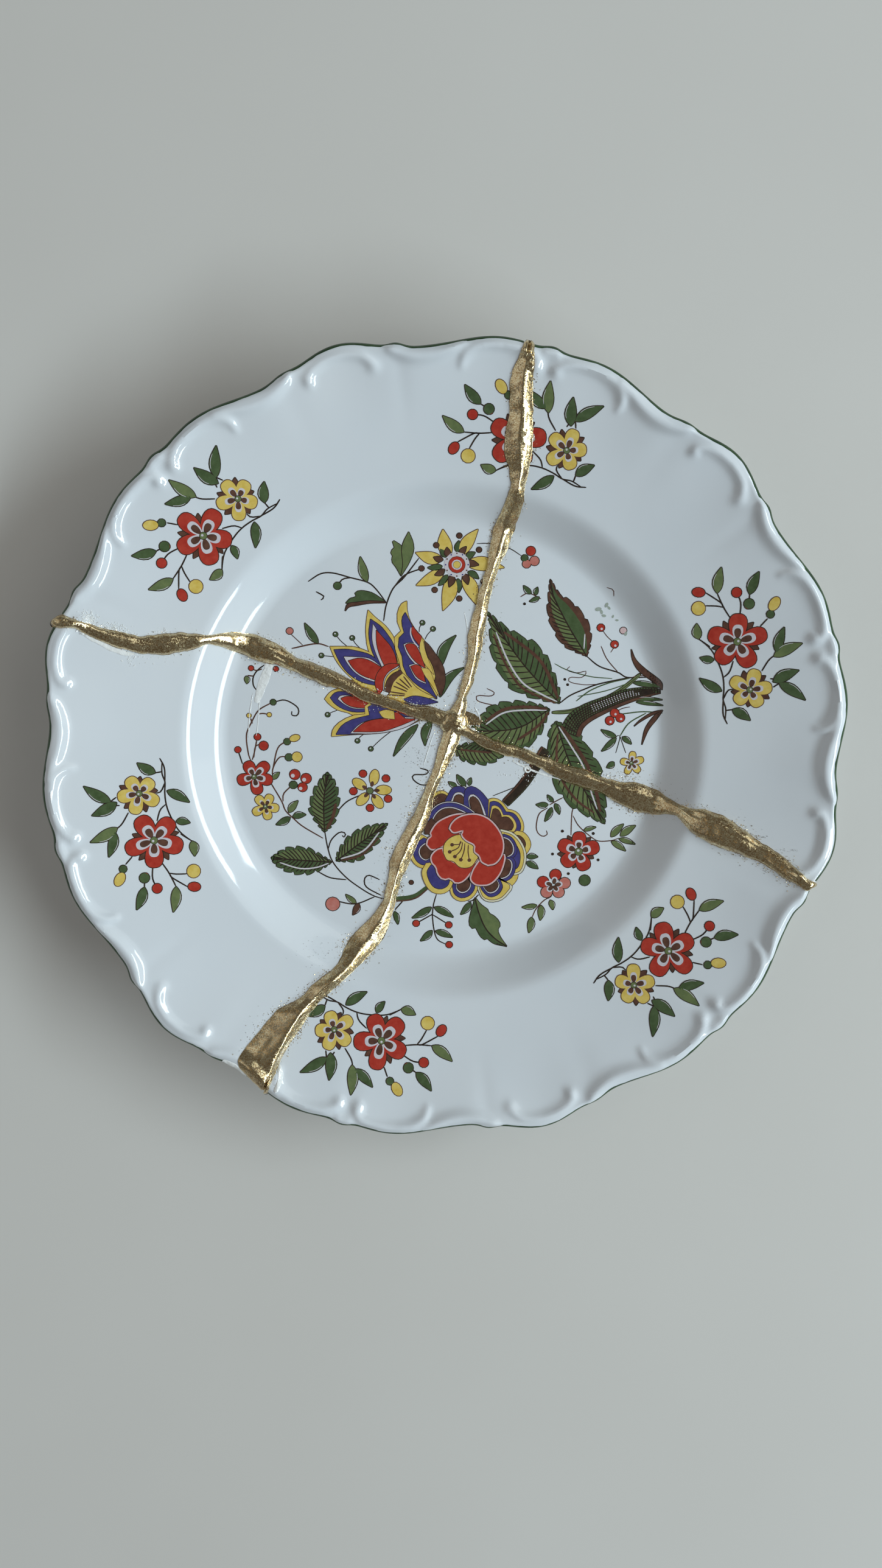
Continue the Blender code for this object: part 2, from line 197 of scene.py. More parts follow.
RIM_RADIUS = 96.0
WELL_FLOOR = 5.6
SHOULDER_START, SHOULDER_END, SHOULDER_RISE = 53.0, 64.5, 6.4
RIM_START, RIM_RISE, RIM_CURVE = 60.0, 8.3, 1.25
WELL_THICKNESS, EDGE_THICKNESS = 3.1, 2.5
LIP_ROUND = EDGE_THICKNESS / 2
LIP_START = RIM_RADIUS - LIP_ROUND
FOOT_INNER, FOOT_OUTER = 49.6, 53.4
SCALLOP_START = 70.0
BREAK_WIDTH = 0.9
JUNCTION = np.array((2.5, 4.5))   # where the four breaks meet

# The scalloped edge: where each bump is in a sixth of the plate (degrees), its width (degrees),
# and its height as a part of the rim's radius.
EDGE_BASE = 0.976
EDGE_BUMPS = ((7.3, 7.4, 0.034), (21.7, 7.5, 0.034), (14.8, 1.5, 0.0093),
              (36.7, 1.4, 0.0086), (45.1, 6.6, 0.0394), (53.4, 2.1, 0.0085))

# The raised scrolls in a sixth of the rim, as strokes of (degrees, radius, height, half width).
SCROLLS = (
    ((3.0, 89.6, 0.5, 1.0), (3.1, 91.4, 0.9, 1.2), (4.2, 93.4, 1.0, 1.2), (6.0, 94.5, 1.0, 1.1),
     (8.5, 94.8, 1.0, 1.0), (11.0, 94.4, 1.0, 1.1), (12.8, 93.2, 1.0, 1.2), (13.6, 91.9, 1.1, 1.4)),
    ((16.6, 91.8, 1.1, 1.4), (16.6, 93.0, 0.9, 1.2), (17.6, 94.3, 0.9, 1.1),
     (20.0, 94.9, 1.0, 1.0), (23.0, 94.8, 1.0, 1.0), (25.3, 93.9, 1.0, 1.1),
     (26.8, 92.2, 0.9, 1.2), (27.4, 90.0, 0.5, 1.0)),
    ((27.4, 94.6, 0.5, 1.0), (28.8, 93.2, 1.0, 1.1), (31.0, 92.0, 1.1, 1.3), (33.4, 91.6, 1.1, 1.4),
     (35.6, 92.2, 1.1, 1.3), (37.3, 93.6, 1.0, 1.1), (38.2, 95.0, 0.7, 0.9)),
    ((40.4, 91.0, 0.8, 1.5), (40.9, 92.2, 0.9, 1.2), (42.2, 93.8, 0.9, 1.1),
     (44.5, 94.7, 1.0, 1.0), (47.0, 94.5, 1.0, 1.0), (48.9, 93.5, 0.9, 1.1),
     (50.0, 92.2, 0.9, 1.2), (50.1, 91.3, 1.0, 1.3)),
    ((52.3, 94.9, 0.6, 0.9), (53.4, 93.2, 1.0, 1.1), (55.4, 91.9, 1.1, 1.3), (57.6, 91.5, 1.1, 1.4),
     (60.0, 92.1, 1.1, 1.3), (62.2, 93.4, 0.9, 1.1), (64.2, 95.0, 0.5, 1.0)),
    ((14.2, 95.4, 0.6, 1.1), (15.6, 95.4, 0.6, 1.1)),
)

# The breaks, and the gold on them: stations from the junction out to the rim. Each gives the place
# along the break, the seam's lower edge, the break itself and the seam's upper edge. The top and
# bottom breaks are cut across along X, the left and right ones along Y.
ARMS = {
    "top": (
        (3.9, 0.2, 2.3, 4.9), (7.5, 1.3, 3.5, 5.6), (11.0, 3.5, 4.6, 5.7), (16.0, 4.9, 6.3, 7.7),
        (21.0, 6.0, 7.5, 8.9), (26.0, 5.8, 7.9, 9.8), (31.0, 7.2, 8.8, 10.5),
        (37.0, 8.6, 10.1, 11.6), (42.5, 10.4, 11.9, 13.2), (47.0, 11.0, 13.1, 15.4),
        (52.5, 12.0, 14.8, 17.4), (57.5, 14.5, 16.8, 18.9), (62.0, 15.9, 17.7, 19.4),
        (66.0, 15.5, 18.1, 20.3), (69.0, 14.3, 17.9, 20.9), (73.0, 14.2, 17.6, 21.1),
        (79.0, 15.4, 18.2, 20.8), (86.5, 15.2, 18.4, 20.8), (90.0, 16.5, 18.9, 20.9),
        (93.1, 17.9, 19.4, 20.9), (94.9, 18.9, 19.8, 20.8)),
    "left": (
        (3.1, 2.2, 4.4, 6.6), (-2.5, 4.4, 6.1, 8.7), (-7.5, 5.7, 7.5, 9.2), (-12.5, 7.8, 9.3, 10.7),
        (-20.0, 9.9, 11.9, 13.9), (-25.0, 12.7, 14.6, 16.6), (-30.0, 14.0, 16.5, 18.8),
        (-36.0, 16.9, 18.8, 20.8), (-41.0, 18.9, 21.5, 24.3), (-46.0, 19.9, 23.2, 26.5),
        (-51.0, 22.2, 24.8, 27.2), (-54.5, 24.0, 25.5, 26.9), (-57.0, 24.5, 25.6, 26.5),
        (-60.5, 23.2, 25.3, 27.3), (-66.0, 22.0, 24.8, 27.5), (-72.5, 22.3, 24.5, 26.6),
        (-79.0, 24.3, 26.2, 28.1), (-85.0, 27.4, 28.8, 30.0), (-88.0, 29.0, 30.2, 31.3),
        (-90.3, 29.0, 30.8, 32.4), (-91.9, 28.9, 30.3, 31.0)),
    "right": (
        (1.9, 2.4, 4.6, 6.8), (6.5, 0.6, 2.0, 3.4), (10.0, -2.0, 0.0, 1.7), (13.0, -3.0, -1.1, 0.5),
        (18.0, -4.1, -2.5, -0.9), (24.0, -6.8, -5.0, -3.2), (30.0, -10.0, -7.8, -5.6),
        (35.0, -11.9, -9.4, -6.9), (39.0, -12.9, -10.9, -8.9), (43.0, -15.4, -12.5, -9.9),
        (48.0, -18.0, -14.1, -10.2), (52.5, -18.1, -15.0, -11.8), (57.5, -17.8, -16.4, -14.9),
        (60.5, -21.4, -18.4, -15.7), (64.0, -23.7, -19.8, -15.8), (68.0, -25.3, -21.2, -17.0),
        (72.5, -26.6, -23.3, -20.0), (77.0, -28.2, -25.8, -23.2), (82.5, -31.7, -29.2, -26.6),
        (86.0, -33.7, -31.9, -29.9), (88.0, -35.0, -33.2, -31.9), (89.3, -33.2, -33.0, -32.1)),
    "bottom": (
        (5.1, 0.4, 2.7, 5.0), (1.0, -0.4, 1.4, 4.2), (-3.0, -1.7, 0.3, 2.7),
        (-8.0, -3.0, -1.4, 0.1), (-13.0, -5.0, -3.5, -2.1), (-19.0, -7.9, -5.6, -3.2),
        (-24.0, -10.6, -8.3, -5.8),
        (-30.0, -13.6, -10.8, -8.1), (-35.0, -13.9, -12.2, -10.7), (-40.0, -15.0, -13.5, -11.9),
        (-45.0, -18.8, -16.0, -13.2), (-50.0, -23.8, -19.5, -15.1), (-55.0, -26.3, -23.2, -20.0),
        (-60.0, -32.8, -29.5, -26.3), (-63.0, -35.5, -32.6, -29.8), (-65.5, -41.3, -35.2, -32.0),
        (-71.0, -45.9, -38.8, -36.1), (-76.0, -50.6, -41.2, -39.3), (-79.0, -50.4, -42.4, -41.0),
        (-82.0, -47.6, -43.6, -42.2), (-84.6, -44.7, -44.2, -43.1)),
}
UPRIGHT_ARMS = ("top", "bottom")

SHERDS = {   # the two breaks of each sherd, anticlockwise seen from above
    "sherd_upper_left": ("top", "left"),
    "sherd_lower_left": ("left", "bottom"),
    "sherd_lower_right": ("bottom", "right"),
    "sherd_upper_right": ("right", "top"),
}


def smooth(value, start, end):
    """An S-shaped step from 0 at start to 1 at end: 3t squared less 2t cubed."""
    part = np.clip((value - start) / (end - start), 0.0, 1.0)
    return part * part * (3.0 - 2.0 * part)


def upper_height(radius):
    """Height of the upper face: flat well, S-shaped shoulder, then the rim's slope to its lip."""
    outward = np.clip(np.minimum(radius, LIP_START) - RIM_START, 0.0, None)
    return (WELL_FLOOR + SHOULDER_RISE * smooth(radius, SHOULDER_START, SHOULDER_END)
            + RIM_RISE * (outward / (LIP_START - RIM_START)) ** RIM_CURVE)


def lower_height(radius):
    """Height of the underside between rim and foot ring: the wall thins towards the lip."""
    thinned = (WELL_THICKNESS - EDGE_THICKNESS) * smooth(radius, SHOULDER_START, LIP_START)
    return upper_height(radius) - WELL_THICKNESS + thinned


def stretch(x, y, radius):
    """How far a point of the round plate is moved out by the scallops: a sum of bell curves."""
    place = np.degrees(np.arctan2(y, x)) % 60.0
    factor = np.full(np.shape(place), EDGE_BASE)
    for centre, width, height in EDGE_BUMPS:
        away = (place - centre + 30.0) % 60.0 - 30.0
        factor += height * np.exp(-((away / width) ** 2))
    return 1.0 + (factor - 1.0) * smooth(radius, SCALLOP_START, RIM_RADIUS)


def round_radius(x, y):
    """The radius that a place on the scalloped plate had on the round one, found by repetition."""
    real = np.hypot(x, y)
    radius = real.copy()
    for _ in range(8):
        radius = real / stretch(x, y, radius)
    return radius


def curve(points, count):
    """A smooth line through the points: a Catmull-Rom spline, sampled evenly in its parameter."""
    points = np.asarray(points, dtype=float)
    padded = np.vstack([2 * points[0] - points[1], points, 2 * points[-1] - points[-2]])
    place = np.linspace(0.0, len(points) - 1 - 1e-9, count)
    first = place.astype(int)
    t = (place - first)[:, None]
    a, b, c, d = (padded[first + i] for i in range(4))
    return 0.5 * (2 * b + (c - a) * t + (2 * a - 5 * b + 4 * c - d) * t ** 2
                  + (3 * b - a - 3 * c + d) * t ** 3)


def relief(x, y):
    """Height of the pressed scrolls: each stroke is a bell curve of the distance from its line.

    Between the strokes the rim dips a little behind each hollow of the edge, as a soft flute."""
    x, y = np.broadcast_arrays(x, y)
    radius = np.hypot(x, y)
    place = np.degrees(np.arctan2(y, x)) % 60.0
    flute = (np.cos(np.radians(place - 14.8) * 12.0) * 0.5 - 0.5) * 0.25
    raised = flute * smooth(radius, 66.0, 82.0) * (1.0 - smooth(radius, 90.0, 95.0))
    near = radius > 85.0
    angle, out = place[near], radius[near]
    total = np.zeros(angle.shape)
    for stroke in SCROLLS:
        line = curve(stroke, 8 * len(stroke))
        for shift in (-60.0, 0.0):
            if line[:, 0].max() + shift < -4.0:
                continue
            highest = np.zeros(angle.shape)
            for degrees, reach, height, width in line:
                aside = np.radians(angle - degrees - shift) * 93.0
                away = (aside ** 2 + (out - reach) ** 2) / width ** 2
                np.maximum(highest, height * np.exp(-away), out=highest)
            total += highest
    raised = raised.copy()
    raised[near] += total * (1.0 - smooth(round_radius(x, y)[near], 94.2, 96.0))
    return raised


def face_height(x, y):
    """Height of the porcelain's upper face at a place on the finished, scalloped plate."""
    return upper_height(round_radius(x, y)) + relief(x, y)


def loft_faces(rows, count):
    """Four-cornered faces of a closed section carried along rows stations, ends closed too.

    The ends pair each point of the section with the one facing it, so count is even."""
    row = np.arange(rows - 1)[:, None] * count
    i = np.arange(count)[None, :]
    j = (i + 1) % count
    sides = np.stack([row + i, row + j, row + count + j, row + count + i], axis=-1).reshape(-1, 4)
    k = np.arange(count // 2 - 1)
    start = np.stack([k + 1, k, count - 1 - k, count - 2 - k], axis=1)
    end = start[:, ::-1] + (rows - 1) * count
    return np.vstack([sides, start, end])


def outward(points, faces):
    """The faces, turned over if the volume that they enclose comes out negative."""
    corners = points[faces]
    one = np.einsum("ij,ij->i", corners[:, 0], np.cross(corners[:, 1], corners[:, 2]))
    two = np.einsum("ij,ij->i", corners[:, 0], np.cross(corners[:, 2], corners[:, 3]))
    return faces if one.sum() + two.sum() > 0 else faces[:, ::-1]


def loft(sections):
    """Points and outward faces of a solid from its sections, an array of stations by points."""
    rows, count = sections.shape[:2]
    points = sections.reshape(-1, 3)
    return points, outward(points, loft_faces(rows, count))


def blurred(values, reach):
    """The values averaged along their first axis with a bell curve reach steps wide, ends held."""
    most = int(3 * reach) + 1
    weights = np.exp(-((np.arange(-most, most + 1) / reach) ** 2))
    padded = np.pad(values, ((most, most), (0, 0)), mode="edge")
    return sum(w * padded[i:i + len(values)] for i, w in enumerate(weights / weights.sum()))


def lengths(line):
    """How far along the line each of its points is."""
    return np.concatenate([[0.0], np.cumsum(np.linalg.norm(np.diff(line, axis=0), axis=1))])


def points_at(line, along, wanted):
    """Points at the wanted lengths of a line whose own points are at the lengths along."""
    return np.stack([np.interp(wanted, along, line[:, i]) for i in (0, 1)], axis=1)


def break_line(arm, past_rim=6.0, spacing=0.5):
    """The break from the junction to beyond the rim, as closely spaced points in plan."""
    table = np.array(ARMS[arm])
    line = table[:, [2, 0]] if arm in UPRIGHT_ARMS else table[:, [0, 2]]
    line[0] = JUNCTION
    run = line[-1] - line[-3]
    line = np.vstack([line, line[-1] + run / np.linalg.norm(run) * past_rim])
    along = lengths(line)
    return points_at(line, along, np.arange(0.0, along[-1], spacing))


def side_of_break(arm, side):
    """Where a sherd's broken edge runs: the break moved half its width to one side."""
    line = break_line(arm)
    run = np.gradient(line, axis=0)
    run /= np.linalg.norm(run, axis=1)[:, None]
    normal = np.stack([-run[:, 1], run[:, 0]], axis=1)
    return line + normal * side * BREAK_WIDTH / 2, run[0]


def section_rows():
    """The sherd's section from its inner corner out over the lip and back under.

    Each row is a radius, a height above zero, and 1 where the pressed relief belongs."""
    inner = np.concatenate([[0.25], np.linspace(3.0, 48.0, 15)])
    shoulder = np.linspace(49.2, 53.4, 8)
    rim = np.concatenate([np.arange(54.2, 66.0, 0.85), np.arange(66.2, 84.0, 1.6),
                          np.arange(84.5, 94.6, 0.62)])
    out = np.concatenate([inner, shoulder, rim])
    upper = np.stack([out, upper_height(out), np.ones(len(out))], axis=1)
    turn = np.radians(np.linspace(90.0, -90.0, 13))
    middle = upper_height(LIP_START) - LIP_ROUND
    lip = np.stack([LIP_START + LIP_ROUND * np.cos(turn), middle + LIP_ROUND * np.sin(turn),
                    np.concatenate([np.ones(6), np.zeros(7)])], axis=1)
    lip = np.delete(lip, 6, axis=0)
    foot = np.array(((53.7, 2.55), (53.4, 1.5), (53.1, 0.4), (52.7, 0.0), (50.3, 0.0), (49.9, 0.4),
                     (49.5, 1.5), (49.0, 2.5)))
    back = rim[::-1]
    under = np.vstack([np.stack([back, lower_height(back)], axis=1), foot,
                       np.stack([inner[::-1], np.full(len(inner), lower_height(0.0))], axis=1)])
    return np.vstack([upper, lip, np.column_stack([under, np.zeros(len(under))])])


def centre_at(reach, corner):
    """Centre of the level circle of that radius: from the sherd's corner to the plate's middle."""
    return corner * (1.0 - smooth(reach, 0.0, 40.0))[:, None]


def broken_edge(arm, side, corner, reaches):
    """Angle at which each level circle of the sherd meets its broken edge."""
    line, run = side_of_break(arm, side)
    line = line[(line - corner) @ run > 0.1] if side else line
    size = round_radius(line[:, 0], line[:, 1]) / np.hypot(line[:, 0], line[:, 1])
    line = line * size[:, None]
    reach = np.hypot(line[:, 0], line[:, 1])
    for _ in range(25):
        away = line - centre_at(reach, corner)
        reach = np.hypot(away[:, 0], away[:, 1])
    angle = np.unwrap(np.arctan2(away[:, 1], away[:, 0]))
    return np.interp(reaches, np.maximum.accumulate(reach), angle)


def sherd_plan(name, reaches, columns_per_degree=3.0):
    """Plan of a sherd on the round plate: level circles drawn from one broken edge to the other."""
    first, second = SHERDS[name]
    (_, run_one), (_, run_two) = side_of_break(first, 1), side_of_break(second, -1)
    cross = abs(run_one[0] * run_two[1] - run_one[1] * run_two[0])
    corner = JUNCTION + (run_one + run_two) * (BREAK_WIDTH / 2 / cross)
    start = broken_edge(first, 1, corner, reaches)
    end = broken_edge(second, -1, corner, reaches)
    end += np.round((start + math.pi / 2 - end) / math.tau) * math.tau
    columns = int(np.degrees(end - start).max() * columns_per_degree)
    share = np.linspace(0.0, 1.0, columns)[:, None]
    angle = start[None, :] + (end - start)[None, :] * share
    centre = centre_at(reaches, corner)
    return centre[:, 0] + reaches * np.cos(angle), centre[:, 1] + reaches * np.sin(angle)


def remapped(material, value, start, end, low=0.0, high=1.0):
    """A socket's value from start to end, moved to low to high and held at both ends."""
    return add_node(material, "ShaderNodeMapRange", inputs={
        "Value": value, "From Min": start, "From Max": end, "To Min": low,
        "To Max": high}).outputs["Result"]


def bumped(material, height, distance, strength):
    """The normal of a skin whose height a socket gives, distance (m) from lowest to highest."""
    return add_node(material, "ShaderNodeBump", inputs={
        "Height": height, "Distance": distance, "Strength": strength}).outputs["Normal"]


glaze, shader = new_material("glazed_porcelain")
# Clear gloss glaze on white hard-paste porcelain, fired at 1400 degrees. It gives a cool white
# that turns slightly grey-blue where the glaze pools, a wet gloss, and a faint ripple in what it
# mirrors. The ground foot ring is bare: matt, and a little warmer.
body = tinted(glaze, noise(glaze, 28.0, 3.0), "#dfe5ea", "#e9ecee")
height = add_node(glaze, "ShaderNodeSeparateXYZ", inputs={
    "Vector": coordinates(glaze)}).outputs["Z"]
bare = remapped(glaze, height, 0.0006, 0.0002)
set_shader(glaze, shader, Base_Color=tinted(glaze, bare, body, "#d9d0c2"),
           Roughness=remapped(glaze, bare, 0.0, 1.0, 0.085, 0.65),
           Normal=bumped(glaze, noise(glaze, 130.0, 1.5), 0.0001, 0.35), IOR=1.52)

rows = section_rows()
for name in SHERDS:
    x, y = sherd_plan(name, rows[:, 0])
    pull = stretch(x, y, np.hypot(x, y))
    x, y = x * pull, y * pull
    z = rows[:, 1] + np.where(rows[:, 2] > 0, relief(x, y), 0.0)
    points, faces = loft(np.stack([x, y, z], axis=-1))
    sherd = make_object("porcelain_" + name[6:], points, faces, glaze)
    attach(sherd, "root")
    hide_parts(name)


# ---------------------------------------------------------------------------------------------
# The line on the edge
# A hand-banded line of dark green enamel, fired on over the glaze. It covers the lip's outer
# round, is broken where the plate is, and wavers a little as the brush did.
# ---------------------------------------------------------------------------------------------

def lumps(along, across, seed):
    """Soft random hills between -1 and 1: values on a lattice of unit cells, blended smoothly."""
    along, across = np.broadcast_arrays(along, across)
    cells = 97   # before the hills repeat
    lattice = np.random.default_rng(seed).uniform(-1.0, 1.0, (cells, cells))
    i, j = np.floor(along).astype(int), np.floor(across).astype(int)
    s, t = smooth(along - i, 0.0, 1.0), smooth(across - j, 0.0, 1.0)
    i, i_next, j, j_next = i % cells, (i + 1) % cells, j % cells, (j + 1) % cells
    return ((lattice[i, j] * (1 - s) + lattice[i_next, j] * s) * (1 - t)
            + (lattice[i, j_next] * (1 - s) + lattice[i_next, j_next] * s) * t)


edge_green, shader = new_material("green_band_enamel")
# Chrome-green overglaze enamel, brushed on thinly: dark, glossy, a shade lighter where it is thin.
coat = tinted(edge_green, noise(edge_green, 160.0), "#1f3322", "#3c5a35")
set_shader(edge_green, shader, Base_Color=coat, Roughness=0.12, IOR=1.55)

BAND_TOP, BAND_BOTTOM = 30.0, 118.0   # degrees round the lip from its highest line
BAND_THICKNESS = 0.05
for name in SHERDS:
    x, y = sherd_plan(name, np.array([LIP_START]), 4.0)
    x, y = x[2:-2], y[2:-2]
    degrees = np.degrees(np.arctan2(y, x))
    top = BAND_TOP + 7.0 * lumps(degrees / 2.2, 0.0, 5) + 3.0 * lumps(degrees / 0.7, 3.0, 6)
    turn = np.radians(top + (BAND_BOTTOM - top) * np.linspace(0.0, 1.0, 11))
    lift = np.concatenate([np.full(11, BAND_THICKNESS), np.full(11, -BAND_THICKNESS)])
    turn = np.hstack([turn, turn[:, ::-1]])
    out = LIP_START + (LIP_ROUND + lift) * np.sin(turn)
    pull = stretch(x, y, out) * out / LIP_START
    z = upper_height(LIP_START) - LIP_ROUND + (LIP_ROUND + lift) * np.cos(turn)
    points, faces = loft(np.stack([x * pull, y * pull, z], axis=-1))
    band = make_object("edge_line_" + name[6:], points, faces, edge_green)
    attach(band, "root")


# ---------------------------------------------------------------------------------------------
# The painted bouquet
# Traditional Indian flowers in overglaze enamels, outlined in black-brown and filled by hand, then
# fired at 800 degrees. Each colour stands up from the glaze by about a tenth of a millimetre.
# ---------------------------------------------------------------------------------------------

FIRST_COAT = 0.035     # height of the lowest colour over the glaze
BOUQUET_COAT = 0.006   # what each further layer adds
INK_EDGE = 0.19
PETAL_EDGE = 0.16      # outline of the tulip's and the peony's petals


def walked(points, count, crowd=0.9):
    """A smooth line through the points, cut into lengths that crowd together at its ends. A drawn
    line's points are written x, y, x, y and so on."""
    points = np.reshape(points, (-1, 2))
    line = curve(points, 10 * len(points))
    along = lengths(line)
    share = (np.arange(count) + 0.5) / count
    return points_at(line, along, (share - crowd * np.sin(math.tau * share) / math.tau) * along[-1])


def length_of(points):
    """The length of the straight lines from point to point."""
    return np.sum(np.linalg.norm(np.diff(np.reshape(points, (-1, 2)), axis=0), axis=1))


def left_of(line):
    """Unit vectors to the left of the line's run at each of its points."""
    run = np.gradient(line, axis=0)
    return np.stack([-run[:, 1], run[:, 0]], axis=1) / np.linalg.norm(run, axis=1)[:, None]


def between(one, two, rows=20, columns=3, teeth=0.0):
    """A grid filling the space between two edges that run from the same base to the same tip.
    Teeth push both edges out in rounded steps that lean towards the tip."""
    edges = [walked(edge, rows) for edge in (one, two)]
    if teeth:
        for i in (0, 1):
            away = left_of(edges[i])
            away *= np.sign(np.sum(away * (edges[i] - edges[1 - i])))
            steps = np.sqrt(np.arange(rows) % 6 / 5) - 0.5
            lean = teeth * steps * np.sin(np.linspace(0.1, math.pi - 0.1, rows))
            edges[i] = edges[i] + away * lean[:, None]
    share = np.linspace(0.0, 1.0, columns)[None, :, None]
    return edges[0][:, None, :] * (1 - share) + edges[1][:, None, :] * share


def grown(grid, reach):
    """The same field, its outline moved outwards by reach."""
    loop = np.concatenate([grid[:, 0], grid[::-1, -1]])
    run = np.roll(loop, -1, axis=0) - np.roll(loop, 1, axis=0)
    area = np.sum(loop[:, 0] * np.roll(loop[:, 1], -1) - loop[:, 1] * np.roll(loop[:, 0], -1))
    away = np.stack([run[:, 1], -run[:, 0]], axis=1) * np.sign(area)
    loop = loop + away / (np.linalg.norm(run, axis=1)[:, None] + 1e-9) * reach
    rows = len(grid)
    share = np.linspace(0.0, 1.0, grid.shape[1])[None, :, None]
    return loop[:rows, None, :] * (1 - share) + loop[rows:, None, :][::-1] * share


def paint(colour, grid, layer, ink=INK_EDGE):
    """Keeps a field to be fired on; ink wider than nothing is laid under it as its outline, which
    is brown round yellow and black round the rest."""
    if ink:
        paint("brown" if colour == "yellow" else "ink", grown(grid, ink), layer - 0.4, 0.0)
    painting.setdefault(colour, []).append((grid, layer))


def disc(colour, x, y, radius, layer, ink=INK_EDGE, long=1.0, turn=0.0):
    """A round or oval spot: radius across, long times that along the direction turn."""
    round_it = np.linspace(0.0, math.pi, 11)
    edges = []
    for side in (1, -1):
        a, b = radius * long * np.cos(round_it), side * radius * np.sin(round_it)
        edges.append(np.stack([x + a * math.cos(turn) - b * math.sin(turn),
                               y + a * math.sin(turn) + b * math.cos(turn)], axis=1))
    paint(colour, between(*edges, rows=11 if radius > 1.0 else 8, columns=4), layer, ink)


def leaf(colour, x0, y0, x1, y1, half, layer=2, gleam=0.12, bend=0.25):
    """A pointed leaf from its foot to its tip, half its width given, bowed to one side by bend
    times that, with a thin gleam of bare glaze left along the side it bows to."""
    base, run = np.array((x0, y0)), np.array((x1 - x0, y1 - y0))
    side = np.array((-run[1], run[0])) / np.linalg.norm(run)
    share = np.linspace(0.0, 1.0, 9)[:, None]
    wide = half * np.sin(math.pi * share ** 0.8) + 0.04
    bow = base + run * share + side * bend * half * np.sin(math.pi * share)
    rows = max(12, int(np.linalg.norm(run) / 0.45))
    paint(colour, between(bow + side * wide, bow - side * wide, rows, 4), layer)
    if gleam:
        line("white", (bow + side * wide * 0.86)[2:7], gleam, layer + 1, 1.0)


def petal(colour, x, y, start, end, half, turn, layer, ink=INK_EDGE):
    """A petal that widens from near the flower's centre x, y to a round end, along turn."""
    share = np.linspace(0.0, math.pi, 15)
    away = start + (end - start) * (0.5 - 0.5 * np.cos(share))
    wide = half * np.sin(share) ** 0.8 * (0.55 + 0.5 * (0.5 - 0.5 * np.cos(share)) ** 0.7) + 0.02
    along, aside = np.array(((math.cos(turn), math.sin(turn)), (-math.sin(turn), math.cos(turn))))
    edges = [np.array((x, y)) + away[:, None] * along + sign * wide[:, None] * aside
             for sign in (1, -1)]
    paint(colour, between(*edges, rows=16, columns=4), layer, ink)


def line(colour, points, width=0.3, layer=1, taper=0.6):
    """A brush line along the points, drawn out thinner towards its ends."""
    spine = walked(points, max(8, int(length_of(points) / 0.4)))
    side = left_of(spine)
    share = np.linspace(0.0, 1.0, len(spine))[:, None]
    half = width / 2 * (1.0 - taper * np.abs(2 * share - 1.0) ** 3)
    paint(colour, np.stack([spine - side * half, spine + side * half], axis=1), layer, 0.0)


def blossom(colour, x, y, petals, heart=1.0, spot=1.0, layer=2, sepals=()):
    """A five-petalled flower: petals given by the middle and radius of their round ends, each with
    a bare patch and a brown spot at its foot, a green heart, and brown sepals in the gaps."""
    for px, py in np.reshape(sepals, (-1, 2)):
        leaf("brown", x + (px - x) * 0.5, y + (py - y) * 0.5, px, py, 0.7, 1, 0)
    for k, (px, py, radius) in enumerate(petals):
        turn, far = math.atan2(py - y, px - x), math.hypot(px - x, py - y)
        petal(colour, x, y, heart * 0.4, far + radius * 0.84, radius * 0.99, turn, layer + k * 0.05)
        petal("white", x, y, heart * 0.5, far * 0.88, radius * 0.58 * spot, turn, layer + 1, 0.0)
        petal("brown", x, y, heart * 1.05, far * 0.68, radius * 0.34, turn, layer + 2, 0.06)
    disc("light", x, y, heart, layer + 2.6, 0.14)
    disc("white", x - heart * 0.1, y + heart * 0.3, heart * 0.35, layer + 3, 0.0)


def big_leaf(one, two, rib, stripes=(), pale_side=0, veins=13, teeth=0.85, body="dark", fill=0.84,
             plain=-1):
    """A serrated leaf: its body colour over the whole, both halves filled within it, one of them
    lighter, ink veins leaning to the tip on each side but the plain one, and stripes given as
    (colour, width, points)."""
    rows = 66
    paint(body, between(one, two, rows, 3, teeth), 2)
    middle = walked(rib, rows, 0.0)
    for i, edge in enumerate((one, two)):
        edge = walked(edge, rows, 0.0)
        inner = middle + (edge - middle) * fill
        if i == pale_side or body != "dark":
            half = np.stack([middle, inner], axis=1)[2:-2]
            paint("light" if i == pale_side else "dark", half, 3, 0.0)
        for k in range(veins if i != plain else 0):
            start = int((k + 0.7) / (veins + 2.4) * rows)
            end = middle[start + 9] + (edge[start + 9] - middle[start + 9]) * 0.9
            bend = (middle[start] * 0.45 + end * 0.55) + (middle[start] - middle[start + 3]) * 0.25
            line("ink", (middle[start], bend, end), 0.3, 4, 0.7)
    line("ink", rib, 0.34, 5)
    for colour, width, points in stripes:
        line(colour, points, width, 6, 0.7)


ENAMELS = {   # a thin coat and a full one of each colour, as they look over white
    "red": ("#c04434", "#ab2e21"),        # iron red
    "yellow": ("#ebd278", "#dab851"),     # lead-antimony yellow
    "blue": ("#4e4a88", "#3c3872"),       # cobalt blue
    "dark": ("#586a46", "#425331"),       # copper green over grey ground
    "light": ("#778353", "#616f47"),      # copper green, thinned with yellow
    "brown": ("#6d4a3a", "#4f3329"),      # manganese brown
    "ink": ("#3f3126", "#251d17"),        # iron and cobalt black
    "pink": ("#cf8a7e", "#c26a5c"),       # iron red wash
    "white": ("#cfc8ce", "#dfd9db"),      # thin tin white
    "blush": ("#d5aead", "#e2c6c5"),      # the same over red
    "cream": ("#e2dcc0", "#e9e2c6"),      # thin yellow
    "faded": ("#b4bbb2", "#98a394"),      # green rubbed almost away
}
enamel = {}
